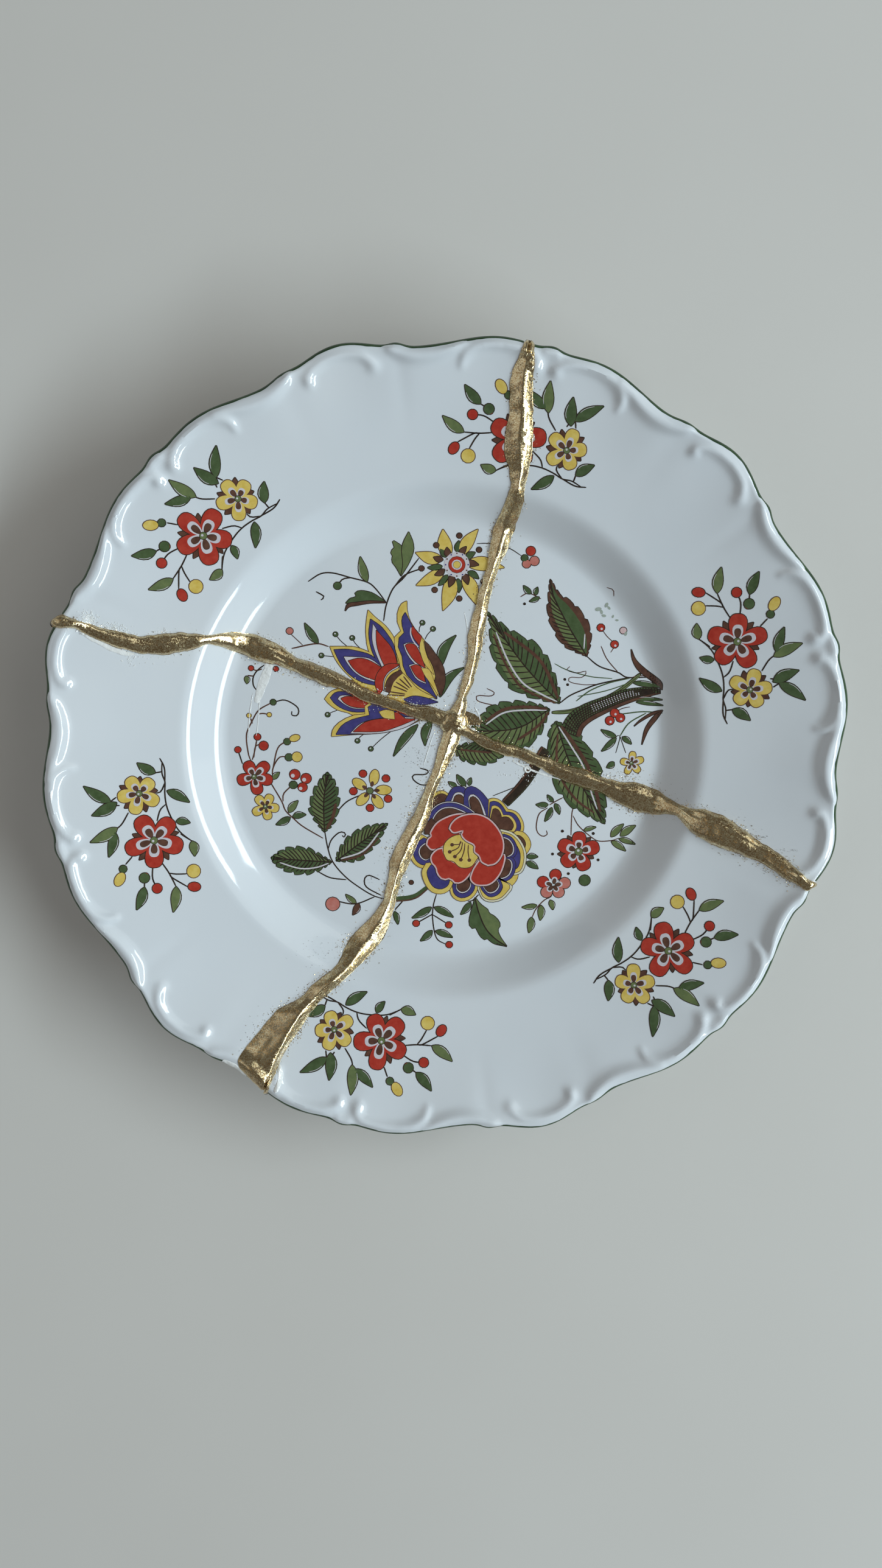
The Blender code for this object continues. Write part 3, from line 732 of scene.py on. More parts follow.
for name, (thin, full) in ENAMELS.items():
    enamel[name], shader = new_material("fired_enamel_" + name)
    # Lead-glass colour melted on at 800 degrees: glossy, full where the brush left it thick and
    # lighter where it ran thin, in soft streaks 1 to 3 mm apart.
    streaks = noise(enamel[name], 520.0, 3.0, 0.6)
    tint = tinted(enamel[name], remapped(enamel[name], streaks, 0.25, 0.72), thin, full)
    set_shader(enamel[name], shader, Base_Color=tint, Roughness=0.14, IOR=1.55,
               Normal=bumped(enamel[name], streaks, 0.00003, 0.4))


def together(solids):
    """Points and faces of several solids, each given by its own, as one mesh."""
    points, faces, done = [], [], 0
    for solid, sides in solids:
        points.append(solid)
        faces.append(sides + done)
        done += len(solid)
    return np.vstack(points), np.vstack(faces)


def fire_on(prefix, places, coat):
    """Makes the kept fields into closed skins on the glaze, one piece for each colour. A place is
    a function that moves a plan to where it belongs, and coat is how much each layer adds."""
    for colour, fields in painting.items():
        grids = [place(grid) for grid, _ in fields for place in places]
        flat = np.vstack([grid.reshape(-1, 2) for grid in grids])
        face = face_height(flat[:, 0], flat[:, 1])
        skins, used = [], 0
        for i, grid in enumerate(grids):
            z = face[used:used + grid[..., 0].size].reshape(grid.shape[:2])
            used += z.size
            number = i // len(places)   # fields of one colour that overlap lie a hair apart
            lift = FIRST_COAT + coat * (fields[number][1] + number % 11 / 80)
            top, base = np.dstack([grid, z + lift]), np.dstack([grid, z - 0.05])
            skins.append(loft(np.concatenate([top, base[:, ::-1]], axis=1)))
        made = make_object(prefix + colour, *together(skins), enamel[colour])
        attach(made, "root")
    painting.clear()


painting = {}

def towards(x, y, centre, share):
    """The place that share of the way from a flower's centre out to x, y."""
    return centre[0] + (x - centre[0]) * share, centre[1] + (y - centre[1]) * share


# The yellow star flower, its stem, bud and lobed leaf.
STAR = (3.2, 43.4)
for flame in ((1.3, 45.3, -0.2, 51.9, 1.6), (4.0, 45.6, 8.3, 51.9, 1.4),
              (5.3, 43.7, 14.7, 42.7, 1.6), (4.8, 41.2, 8.0, 33.7, 1.6),
              (2.1, 41.0, -0.2, 32.3, 1.7), (0.2, 42.2, -6.7, 38.4, 1.4),
              (-0.2, 44.6, -6.8, 46.3, 1.4)):
    leaf("yellow", *flame, gleam=0)
    x0, y0, x1, y1, half = flame
    leaf("brown", x0, y0, x0 + 0.34 * (x1 - x0), y0 + 0.34 * (y1 - y0), 0.45 * half, 4, 0)
for x, y in ((3.8, 50.4), (8.6, 47.0), (9.7, 39.3), (3.8, 35.2), (-2.2, 37.3), (-5.4, 42.5),
             (-1.8, 48.1)):
    leaf("dark", *towards(x, y, STAR, 0.42), *towards(x, y, STAR, 0.82), 0.7, gleam=0)
    disc("brown", x, y, 0.62, 3)
disc("white", *STAR, 3.1, 5, 0.0)
for k, turn in enumerate(np.radians(np.arange(12) * 30.0)):
    disc("brown" if k % 2 else "blue", STAR[0] + 2.75 * math.cos(turn),
         STAR[1] + 2.75 * math.sin(turn), 0.19, 6, 0.0)
disc("red", *STAR, 2.0, 7, 0.1)
disc("white", *STAR, 1.25, 8, 0.0)
disc("yellow", *STAR, 0.85, 9, 0.1)
line("ink", (8, 48.5, 11.2, 48.5, 15.8, 47.4, 19, 45.5), 0.22)
paint("light", between((-10.4, 40.7, -11.6, 42.8, -12.6, 44.2, -12.4, 45.4, -12.9, 46.6, -12, 47.5,
                        -12.4, 49.2, -10.6, 48.2),
                       (-10.4, 40.7, -9.6, 42.8, -9.4, 45.4, -9.8, 47.2, -10.6, 48.2), 26), 2)
paint("light", between((-10.4, 40.7, -9.9, 43.6, -10.2, 46.8, -9.8, 48.8, -8.5, 51.3),
                       (-10.4, 40.7, -8.6, 43.6, -7.4, 46.6, -7.5, 48.8, -8.5, 51.3)), 3)
for points in ((-14.7, 29.7, -14, 33.7, -12.3, 37.7, -9.7, 40.3, -6, 45),
               (-12.3, 37.7, -9.6, 40.8, -5.4, 42.5),
               (-14.2, 34.5, -16.7, 37.7, -18.7, 39.2, -22.8, 40.3, -27, 41.4, -30, 41.2,
                -33.1, 39.3), (-25.9, 38.3, -24.6, 39.9, -22.3, 40.3),
               (-31.2, 36.9, -29.2, 35.7, -30, 34.8), (-10.2, 40.9, -9.6, 45, -9, 48)):
    line("ink", points, 0.34)
leaf("light", -18.7, 39.3, -20.3, 45.3, 1.0)
disc("dark", -25.9, 38.3, 0.9, 2)
paint("dark", between((-14.2, 34.4, -15.6, 35.4, -17.6, 36.6, -20.2, 37.1, -21.6, 36.6,
                       -21.4, 35.6, -22.8, 35.2, -23.9, 34.1),
                      (-14.2, 34.4, -18, 34.6, -21, 34.3, -23.9, 34.1), 26), 2)
paint("brown", between((-14.2, 34.4, -18, 34.6, -21, 34.3, -23.4, 33.9, -24.1, 32.2),
                       (-14.2, 34.2, -18, 34.1, -21, 33.6, -23.1, 33.2, -24.1, 32.2)), 3)

# The tulip: each petal is a yellow field, then blue, a white line and red within it.
TULIP = (
    ("yellow", 2, (-18.5, 32.4, -19, 28.9, -19, 26, -18.4, 22.5, -16, 18),
     (-18.5, 32.4, -16.7, 30.6, -14.4, 28.7, -12.6, 26.4, -11.7, 24.2, -11, 19.2)),
    ("blue", 4, (-17.9, 30.2, -18.3, 27.1, -18.1, 24.6, -17.2, 21.5, -15, 18),
     (-17.9, 30.2, -15.3, 28.3, -13.5, 26, -12.3, 23.9, -11.4, 19.6)),
    ("white", 5, (-17.3, 29, -17.5, 25.3, -16.7, 22.1, -15.2, 18.6),
     (-17.3, 29, -16.2, 26.8, -15.4, 21.6, -14.4, 18.6)),
    ("red", 6, (-16.5, 27.5, -16.4, 24.2, -15.6, 21.2, -14.3, 18.4),
     (-16.5, 27.5, -14.9, 25.7, -13.1, 23.6, -12, 21.4, -11.4, 19)),
    ("yellow", 2, (-27.9, 23.5, -24.6, 23.5, -21.4, 23.3, -17.4, 21.6, -14.6, 19),
     (-27.9, 23.5, -26.7, 20.6, -24.9, 18, -22.4, 15.5, -19.8, 13.6, -16, 12.4)),
    ("blue", 4, (-26.9, 22.7, -23.9, 22.8, -21.4, 22.4, -18, 21.4, -15, 19),
     (-26.9, 22.7, -25.6, 19.9, -23.9, 17.4, -21.7, 15.6, -19.2, 14.5, -15.6, 13.8)),
    ("white", 5, (-24.5, 21, -21.6, 20.9, -18.2, 20.5, -15.4, 18.6),
     (-24.5, 21, -23.5, 19.2, -21.7, 17.1, -19.2, 15.6, -16, 14.6)),
    ("red", 6, (-23.4, 20, -20.8, 20.6, -18.4, 20.1, -15.2, 18.3),
     (-23.4, 20, -22.1, 18.1, -19.9, 16.4, -16.2, 15.1)),
    ("yellow", 3, (-9, 34.6, -10.3, 33.9, -11.2, 32.1, -11.4, 29.9, -10.8, 28.1, -10.4, 26.7,
                   -11.6, 26.3, -12.1, 25.4, -11.8, 22.6, -11, 20.2, -10.9, 18.6, -9.4, 15.6,
                   -6.7, 13.1, -1.8, 10.6),
     (-9, 34.6, -8.9, 32, -8, 29.2, -6.6, 27.2, -4.2, 24.2, -2.6, 20, -1.4, 15, -1.8, 10.6)),
    ("blue", 5, (-9.4, 31.8, -10.1, 30.6, -10.2, 28.9, -9.7, 27.3, -9.8, 26.1, -11, 25.5,
                 -11.2, 24.4, -10.9, 22.6, -9.8, 20.2, -9.9, 18.1, -8.8, 16.3, -6.7, 14.2,
                 -3.9, 12.4, -1.6, 10.6),
     (-9.4, 31.8, -8.1, 29.2, -7.5, 28, -6, 24.4, -5.6, 21, -4.8, 17.6, -3.6, 14.4, -1.6, 10.6)),
    ("red", 7, (-7.6, 28.5, -7.9, 27.4, -7.3, 25.6, -5.6, 23.4),
     (-7.6, 28.5, -6.4, 26.9, -5.3, 25.6, -5.6, 23.4)),
    ("white", 6, (-9.8, 24, -9.2, 22.2, -8, 20.3, -6.4, 18.8, -4.5, 17.9),
     (-9.8, 24, -8.5, 24.4, -6.6, 23.8, -5.2, 20.6, -4.5, 17.9)),
    ("red", 7, (-9.4, 23.8, -8.8, 22.4, -7.7, 20.7, -6.3, 19.3, -4.6, 18.3),
     (-9.4, 23.8, -8.4, 24.2, -6.8, 23.6, -5.4, 20.6, -4.6, 18.3)),
    ("white", 6, (-8.5, 18.9, -7.3, 16.4, -6.2, 15.2, -4.4, 14.4),
     (-8.5, 18.9, -6.6, 19.2, -5.1, 17.8, -4.4, 14.4)),
    ("red", 7, (-8.1, 18.6, -7.3, 17, -6.3, 15.8, -4.6, 14.8),
     (-8.1, 18.6, -6.6, 19, -5.2, 17.9, -4.6, 14.8)),
    ("brown", 8, (-4.7, 24.8, -4.1, 21.7, -2.7, 18.9, -1.9, 16, -2.2, 14.4, -0.6, 11.4),
     (-4.7, 24.8, -3.6, 23.8, -2.2, 21.9, -0.7, 19.8, 0.2, 17.4, 0.3, 14.4, -0.6, 11.4)),
    ("red", 7, (-16, 11.8, -16.9, 14.6, -16, 17.4, -13.9, 19.1, -10.9, 19.2),
     (-16, 11.8, -14.8, 13.1, -14.5, 15.3, -13.4, 17.1, -10.9, 19.2)),
    ("white", 8, (-14.9, 12.6, -14.7, 15.2, -13.5, 17.2, -10.9, 18.8),
     (-14.9, 12.6, -13.9, 14.9, -12.7, 16.4, -10.9, 18.8)),
    ("yellow", 9, (-14.6, 12.6, -14.4, 15.1, -13.2, 17, -10.7, 18.4),
     (-14.6, 12.6, -13.4, 14.6, -12.2, 16.1, -10.7, 18.4)),
    ("brown", 10, (-14.5, 12.6, -14, 14.9, -12.7, 16.6, -10.6, 17.7),
     (-14.5, 12.6, -11, 11.6, -8.8, 14, -10.6, 17.7)),
    ("yellow", 11, (-14.8, 10.8, -13.2, 12, -12.6, 14.2, -11.4, 15.8, -9.9, 16.9, -8.4, 15.2,
                    -6.2, 13, -2.4, 11), (-14.8, 10.8, -11.4, 9.8, -7.6, 10.2, -2.4, 11)),
    ("blue", 12, (-9.9, 10.5, -7.4, 11.3, -4.6, 10.9, -1.4, 9.8),
     (-9.9, 10.5, -8.4, 9.7, -5, 9.2, -1.4, 9.8)),
    ("yellow", 2, (-29.3, 10.6, -28.1, 12.1, -26.2, 13, -22, 12.6, -17, 10.8),
     (-29.3, 10.6, -28.2, 9.3, -26.2, 7.9, -23.6, 7.2, -20.4, 6, -16, 7.4)),
    ("blue", 3, (-27.9, 10.9, -26.5, 12.2, -23.8, 12.2, -17, 10.2),
     (-27.9, 10.9, -26.7, 9.4, -24.6, 8.1, -21.7, 7.4, -17, 7.6)),
    ("white", 4, (-26.1, 10.6, -25.2, 11.4, -22.6, 11.3, -18.6, 10.2),
     (-26.1, 10.6, -24.3, 9.2, -22.1, 8.3, -18.6, 8.2)),
    ("red", 5, (-25.3, 10.7, -23.9, 11.2, -21.6, 11, -18.6, 10),
     (-25.3, 10.7, -24.2, 9.5, -22.1, 8.6, -18.6, 8.4)),
    ("yellow", 6, (-27.7, 1.3, -27.3, 3.1, -25.6, 4.9, -22.4, 6.5, -19.2, 6.9, -20.1, 7.9,
                   -18.6, 9.4, -15.6, 10.6, -9, 9, -4, 6.4),
     (-27.7, 1.3, -22, 1.8, -16, 2.1, -10, 3.4, -4, 6.4)),
    ("blue", 7, (-26.6, 1.8, -25, 4.1, -22.2, 5.6, -18.2, 6.6, -19, 8, -16.8, 9.9, -13.6, 9.2,
                 -9, 8.4, -4.4, 6.4), (-26.6, 1.8, -22, 1.9, -16, 2.2, -10, 3.6, -4.4, 6.4)),
    ("white", 8, (-23, 2.1, -20.6, 4.4, -17.6, 5.4, -12.6, 6, -5.4, 6),
     (-23, 2.1, -16.4, 2.1, -10, 3.4, -5.4, 6)),
    ("red", 9,
     (-22.3, 2.5, -19.4, 4.8, -15.4, 5.7, -12.6, 5.6, -13, 7, -11, 7.3, -9.8, 5.8, -7, 5.6),
     (-22.3, 2.5, -15.6, 2.6, -11.4, 3.8, -7, 5.6)),
    ("yellow", 10, (-15.9, 7.4, -14.2, 7.9, -12.3, 7.5), (-15.9, 7.4, -14.8, 6, -12.1, 5.6)),
)
for colour, layer, one, two in TULIP:
    paint(colour, between(one, two), layer, PETAL_EDGE)
line("white", (-8, 28.2, -8.1, 26.6, -7.4, 24.8, -6.2, 23.4), 0.3, 8)
paint("yellow", between((-5.3, 25.8, -5.9, 23.5, -5.5, 21.4, -4.6, 19.2, -2.4, 16.6),
                        (-5.3, 25.8, -4.7, 23, -4, 20.8, -3.2, 18.8, -2.4, 16.6)), 9, 0.1)
paint("yellow", between((-5.5, 18.2, -4.6, 16.4, -3.2, 14.4, -1.1, 11.2),
                        (-5.5, 18.2, -3.6, 17.8, -2.4, 15, -1.1, 11.2)), 9, 0.1)
for x, y in ((-13.4, 12.4), (-12.4, 13.8), (-11.8, 14.8), (-10.9, 15.6), (-9.9, 16.2),
             (-13.7, 11.6)):
    line("brown", ((x, y), (x * 0.45 - 3.4, y * 0.45 + 6.2)), 0.34, 12)
for x, y, x1, y1 in ((-26.5, 26.5, -23.5, 23.4), (-22.4, 25.6, -20.4, 23.0),
                     (-30.0, 21.3, -26.7, 21.0), (-5.2, 29.3, -6.0, 27.0),
                     (-2.6, 27.8, -4.6, 25.2), (-28.6, 6.7, -26.2, 7.8), (-21.3, 0.2, -19.5, 2.0),
                     (-18.0, -1.8, -12.0, 3.3)):
    line("ink", ((x, y), ((x + x1) / 2 - 0.3, (y + y1) / 2), (x1, y1)), 0.2)
    disc("dark", x, y, 0.55, 2)
    disc("white", x - 0.12, y + 0.15, 0.2, 3, 0.0)
for *blade, bend in ((-0.9, 18.4, 3.0, 26.2, 1.15, 1.0), (-0.9, 11.1, 5.0, 18.3, 1.05, 1.3),
                     (-3.1, 5.2, -4.6, -1.0, 1.0, -0.7), (-6.4, 4.2, -12.4, -3.6, 0.95, -0.5),
                     (-30.8, 24.3, -34.0, 29.2, 0.9, 0.25)):
    leaf("dark", *blade, bend=bend)
line("brown", (-28.2, 23.5, -31.3, 24.2, -37.3, 23), 0.35)
line("brown", (-34.5, 23.8, -36.2, 25.4, -37.7, 26.8), 0.2)
disc("pink", -37.7, 27.3, 0.8, 2)

# The vines and small flowers on the left.
for colour, points in (
        ("ink", (-44, 19, -45.7, 17.7, -46.8, 16, -46.8, 14, -46, 12.7)),
        ("brown",
         (-47.5, -5.2, -48.3, -3, -48.7, 1.7, -47.3, 5, -45.7, 7.7, -43.3, 9.2, -41.8, 9.8)),
        ("ink", (-41.8, 9.8, -39, 10.3, -36, 8.5, -36, 6.6, -37.4, 6.6, -37.4, 7.6)),
        ("brown", (-42.3, -9.3, -42.3, -6.7, -40.6, -3.9, -38.3, -3.9)),
        ("brown", (-42.3, -6.7, -41, -1.6, -38.7, 0.2)),
        ("brown", (-47, -4, -46.4, -1, -44.5, -1)),
        ("brown", (-47.4, -4.6, -46.9, -3, -46, 1.2)),
        ("brown", (-47.2, 4.5, -47.6, 5.8)),
        ("brown", (-45.6, 6.9, -44.4, 7, -43.4, 6.8)),
        ("brown", (-44.6, 18, -46, 17.6, -47, 18)),
        ("brown", (-46.6, 16.2, -48.2, 16.4)),
        ("ink", (-49.8, -5.6, -50.9, -2)),
        ("brown", (-37.5, -10.8, -39.7, -13, -39.9, -15)),
        ("brown", (-43.5, -9.3, -42.3, -11.3, -40.2, -15, -39.3, -17.3, -37.3, -19.3, -35, -21.3,
                   -30, -24.3)),
        ("ink", (-29.7, -22, -28.9, -26.7, -27.6, -30.4, -24.3, -34.3, -20, -37.5, -17.3, -39,
                 -15, -39.7)),
        ("ink", (-31.5, -32.7, -28.3, -34.3, -24.3, -34.8)),
        ("ink", (-28.8, -27, -28, -24.7, -26, -22.8, -24.5, -23, -24.8, -24, -25.3, -23.5)),
        ("ink", (-16, -34.8, -18.7, -33.7, -19.8, -34.7, -19.3, -36.7, -15.7, -38.8)),
        ("ink", (-26.3, -17.3, -24, -15, -21, -13.5)),
        ("ink", (-27.8, -40, -22.3, -41, -17.3, -39.2)),
        ("ink", (-10, -40, -12.2, -42.5)),
        ("ink",
         (-5.9, -6.6, -3.8, -7.3, -4.6, -8.2, -7.4, -8.3, -7.6, -9.4, -5.9, -10.7, -4, -10.9))):
    line(colour, points, 0.32)
line("dark", (-15, -39.7, -12, -39.7, -7.3, -39, -4, -36.6), 1.1, 1)
line("brown", (-14, -40.1, -10.5, -40.2, -7, -39.5, -4, -37.2), 0.4, 2)
for colour, x, y, radius in (
        ("red", -47.3, 18.2, 0.6), ("red", -41.2, 18.0, 0.6), ("yellow", -48.0, 6.5, 0.5),
        ("yellow", -43.0, 6.7, 0.5), ("dark", -42.0, 9.8, 0.7), ("red", -50.9, -2.0, 0.75),
        ("red", -46.0, 1.2, 0.8), ("red", -44.5, -1.0, 1.1), ("dark", -38.7, 0.0, 0.8),
        ("dark", -38.3, -3.9, 0.9), ("red", -20.0, -8.0, 0.9), ("red", -14.3, -9.2, 0.9),
        ("red", -13.8, -14.3, 0.9), ("red", -18.3, -16.6, 0.9), ("red", -22.4, -12.4, 0.9),
        ("pink", -27.8, -41.0, 1.7), ("brown", -8.1, -35.5, 0.5), ("yellow", -36.3, -3.8, 1.2)):
    disc(colour, x, y, radius, 2)
disc("yellow", -36.8, 0.9, 0.8, 2, long=1.6, turn=0.3)
for colour, leaves in (
        ("light", ((-48.5, 16.2, -48.4, 14.4, 0.6), (-42.3, -9.3, -40.7, -7.7, 0.6),
                   (-38.5, -17.7, -36.2, -14.8, 0.8), (-22.0, -40.7, -24.5, -38.6, 0.6))),
        ("dark", ((-37.5, -18.8, -34.3, -18.3, 0.75), (-38.2, -19.0, -41.7, -20.8, 0.8),
                  (-12.3, -43.0, -11.5, -46.2, 0.6), (5.4, -11.0, 3.3, -8.3, 0.8),
                  (3.2, -11.2, 1.2, -10.1, 0.55), (6.3, -10.9, 6.8, -9.1, 0.5),
                  (20.8, -29.0, 23.5, -29.0, 0.65), (20.7, -30.4, 23.6, -32.0, 0.75),
                  (-3.1, -41.9, -7.9, -44.6, 0.8), (-2.3, -41.9, 2.4, -44.4, 0.8),
                  (-2.9, -47.9, -5.8, -50.5, 0.75), (-2.0, -48.0, 2.2, -49.6, 0.75),
                  (6.8, -40.7, 4.3, -43.7, 0.75))),
        ("brown", ((-21.3, -40.9, -22.8, -43.8, 0.75),))):
    for blade in leaves:
        leaf(colour, *blade)
blossom("red", -47.0, -8.8, ((-48.2, -6.2, 1.6), (-44.5, -6.3, 1.6), (-43.8, -9.5, 1.6),
                             (-46.3, -11.8, 1.6), (-49.8, -9.5, 1.6)), 0.6)
blossom("yellow", -44.3, -16.3, ((-45.8, -14.5, 1.2), (-43.3, -14.2, 1.2), (-42.0, -16.6, 1.2),
                                 (-43.8, -18.5, 1.2), (-46.5, -17.5, 1.2)), 0.5, 0.7)
for x, y, radius in ((-36.9, -8.2, 1.25), (-34.1, -9.2, 1.25), (-35.0, -11.4, 1.1)):
    disc("red", x, y, radius, 2)
    disc("white", x - 0.5, y - 0.3, radius * 0.4, 3, 0.0)
disc("dark", -37.3, -10.8, 0.95, 4)
for x, y, turn in ((-17.2, -8.9, 80.0), (-20.9, -10.6, 145.0), (-14.9, -12.1, 0.0),
                   (-16.4, -15.0, -55.0), (-20.1, -14.4, -135.0)):
    disc("yellow", x, y, 1.15, 2, long=1.65, turn=math.radians(turn))
    disc("brown", x + (-18.3 - x) * 0.5, y + (-12.3 - y) * 0.5, 0.45, 4, 0.0, 1.6,
         math.radians(turn))
disc("light", -18.3, -12.3, 0.75, 5)
big_leaf((-29.7, -22.7, -32.3, -19, -33.2, -16.7, -32.8, -14.6, -32, -12, -30.2, -9.3,
          -28.8, -7.7),
         (-29.7, -22.7, -27.3, -20, -26.2, -15.7, -26.5, -12, -27.2, -10, -28.8, -7.7),
         (-29.7, -22.7, -29.8, -15, -28.8, -8.2),
         (("brown", 0.8, (-29.2, -22, -27.6, -19, -26.8, -15.5)),), 0)
big_leaf((-26.8, -30, -26.3, -28, -24.7, -25.3, -22.7, -23.3, -19, -21.4, -14, -20.6),
         (-26.8, -30, -21.3, -29.8, -19, -27.7, -16.3, -25, -15, -22.3, -14, -20.6),
         (-26.8, -30, -21.5, -26, -14.6, -21),
         (("white", 0.4, (-25.7, -29.5, -20, -27.4, -16, -22.7)),
          ("brown", 0.5, (-25.7, -29.9, -20.4, -28.4, -16.2, -24.2))), 0)
big_leaf((-28, -30.3, -31.3, -28.3, -34.3, -26.9, -39, -26.9, -43, -29.2),
         (-28, -30.3, -31.3, -32.3, -34.5, -33.2, -38.3, -32.8, -41.7, -31, -43, -29.2),
         (-28, -30.3, -35, -29.9, -42.4, -29.3),
         (("white", 0.35, (-41, -30.4, -36, -31.9, -32, -31.7, -28.7, -30.6)),), 0)

# The peony: scalloped outer petals, each with its bands set in from its edge, then four red ones.
PEONY_HEART = np.array((6.0, -26.0))
SCALLOPS = (
    ((-4.4, -17, -3, -13.6, -0.6, -12.3, 1.2, -13.2, 2.4, -15.2), "y0 n.8"),
    ((-0.6, -16.8, 1.1, -13.4, 2.3, -11.6, 4.1, -11.2, 5.6, -12.1, 7, -15.6), "b0 w1.5 n2.1"),
    ((5, -16, 5.3, -12.3, 6.8, -11.2, 8.9, -12.2, 10.8, -14.4, 12.1, -16.8, 12.6, -20.4),
     "b0 w2.0 n2.6"),
    ((11.2, -14.5, 12.3, -14.2, 13.8, -14.6, 15.2, -15.9, 15.8, -16.9, 17, -17.2, 18.5, -18,
      19.7, -20.1, 19.9, -22, 19.1, -23.7), "y0 b.8 y1.9 n2.7"),
    ((18.2, -22.4, 20, -22.9, 21.4, -24.6, 21.6, -26.6, 20, -29.2), "y0 n1.3"),
    ((12, -35, 13.4, -36.4, 15, -36.9, 17.2, -36.2, 18.6, -33.8, 17.4, -31.6), "y0"),
    ((14.2, -22, 17, -22.8, 19, -24.6, 20.4, -27.4, 20.5, -30.2, 19.4, -33, 16.6, -33.8),
     "c0 y.6 b1.6"),
    ((15, -23.2, 17, -24.2, 18.2, -26.4, 17.9, -28.6, 16, -29.9), "b0 w.7 n1.1"),
    ((15.2, -29, 17.3, -29.4, 18, -31.4, 17, -34.2, 14.6, -35.4, 12.6, -34.8), "b0 w.8 n1.2"),
    ((8.2, -36, 8.9, -38, 9.9, -39.8, 11.8, -40.5, 14.4, -40, 16.3, -38.2, 17.1, -36.4, 14, -34.6),
     "c0 y.6"),
    ((9, -35.6, 9.6, -37.4, 11.4, -39.1, 13.5, -38.6, 14.7, -36.8, 14.2, -35), "b0 w.9 n1.3"),
    ((1.2, -34.6, 1.6, -37.2, 2.3, -39.2, 4.3, -40.3, 6.8, -39.6, 8.4, -37.4, 8, -34.8),
     "y0 b.9 w2.1 n2.5"),
    ((-5.4, -23.4, -7.2, -24.8, -8.2, -26.4, -8.4, -28.4, -7.4, -30.6, -5.4, -31.8, -3, -31),
     "y0 b.9 w2.2 n2.6"),
    ((-4.4, -30.6, -5.4, -32.8, -4.8, -35.4, -3.2, -37.7, -0.8, -38.4, 1.4, -37.4, 2.6, -34.8),
     "y0 b1.3"),
    ((-4.6, -20.4, -3.4, -17.6, -1.4, -15.7, 1.3, -15, 4.1, -15.5, 6.8, -17, 9, -19),
     "w0 b.35 w1.4 n1.8"),
    ((-4.7, -23.2, -4.5, -21, -3, -19.2), "n0"),
)
BANDS = {"c": "cream", "y": "yellow", "b": "blue", "w": "white", "n": "brown"}
coats = 2.0
for arc, bands in SCALLOPS:
    arc = np.reshape(arc, (-1, 2))
    ends = (arc[0] + arc[-1]) / 2
    root = ends + (PEONY_HEART - ends) * 0.45
    middle = (np.mean(arc, axis=0) + root) / 2
    away = arc - middle
    far = np.linalg.norm(away, axis=1)[:, None]
    for band in bands.split():
        edge = walked(middle + away * np.clip(1.0 - float(band[1:]) / far, 0.3, None), 28)
        coats += 0.55
        paint(BANDS[band[0]],
              np.stack([root + (edge - root) * share for share in (1.0, 0.5, 0.04)], axis=1),
              coats, 0.15 if float(band[1:]) < 3 else 0.0)
PEONY = (   # the four red petals as pairs of edges
    ((-4.2, -25.9, -3.9, -24.6, -3, -23.7, -3.2, -22.8, -1.6, -20.4, 1, -18.9, 3.4, -18.2,
      5.6, -18.2), (-4.2, -25.9, -2.9, -27.1, -0.4, -26.4, 2, -24.4, 4, -23.2, 5.6, -18.2)),
    ((-0.3, -26.8, -1.8, -27.3, -3.1, -28.9, -2.8, -30.6, -1.9, -31.5, -1.6, -32.9, -0.7, -34.3,
      0.7, -34.7, 1.7, -34.4, 3, -35.6, 4.9, -35.1, 6.9, -32.8, 8.9, -29.6),
     (-0.3, -26.8, 0.1, -28.4, 1.2, -29.6, 3.2, -30.7, 5.4, -31.4, 7.4, -30.8, 8.9, -29.6)),
    ((9.5, -29.2, 8.4, -30.7, 7.4, -32.4, 6.8, -34.6, 7.9, -35.9, 9.2, -36.2),
     (9.5, -29.2, 11.6, -29.6, 15.1, -28.4, 14.6, -32, 13, -34.7, 11.2, -36, 9.2, -36.2)),
    ((1.5, -21.8, 2, -20.6, 3.4, -19.2, 5.8, -18.3, 8.6, -18.3, 11.3, -19.5, 13.4, -21.8,
      14.6, -24.2, 14.9, -26.6, 14.3, -28.9, 12.9, -30.6, 11.1, -31.1),
     (1.5, -21.8, 2.6, -22.8, 4.9, -22.3, 4.5, -23.4, 5.6, -24.8, 7.7, -26, 7.7, -27.6, 8.9, -28.7,
      9.5, -30.2, 11.1, -31.1)),
)
for k, (one, two) in enumerate(PEONY):
    grid = between(one, two, 44)
    paint("blush", grown(grid, 0.25), coats + 1 + 2 * k, PETAL_EDGE)
    paint("red", grown(grid, -0.12), coats + 2 + 2 * k, 0.0)
    if k == 1:
        paint("yellow", between((0, -28, 0.2, -25.8, 1.8, -24.1, 4.1, -23.4, 5.3, -24.8, 7.3, -26,
                                 8.5, -29.2),
                                (0, -28, 0.9, -29.7, 2.5, -30.1, 4.2, -31.6, 6.8, -31.4,
                                 8.5, -29.2), 28), coats + 4.5, 0.2)
for x, y in ((2.1, -25.9), (1.5, -27.7), (2.8, -28.9), (4.3, -29.7), (6.4, -29.8)):
    line("brown", ((x, y),
                   ((x + 5.2) / 2 + 0.3, (y - 25.2) / 2 - 0.2),
                   (4.4 + 0.4 * (x - 2.0), -25.0 - 0.2 * (x - 2.0))), 0.28, coats + 4.7)
    disc("brown", x, y, 0.48, coats + 4.8, 0.0)
for points in ((6, -40.3, 7.2, -40.2, 8.8, -38.6),
               (-1.8, -38.5, -2.6, -41.6, -2.75, -45, -1.8, -49.75, 0.7, -51.5),
               (-2.7, -43.6, -6.7, -45.9), (-2.7, -43.8, 1.2, -46.3), (5.6, -11.4, 5, -10.4),
               (20, -28.6, 21.2, -29), (19.6, -30, 21, -30.6)):
    line("ink", points, 0.3)
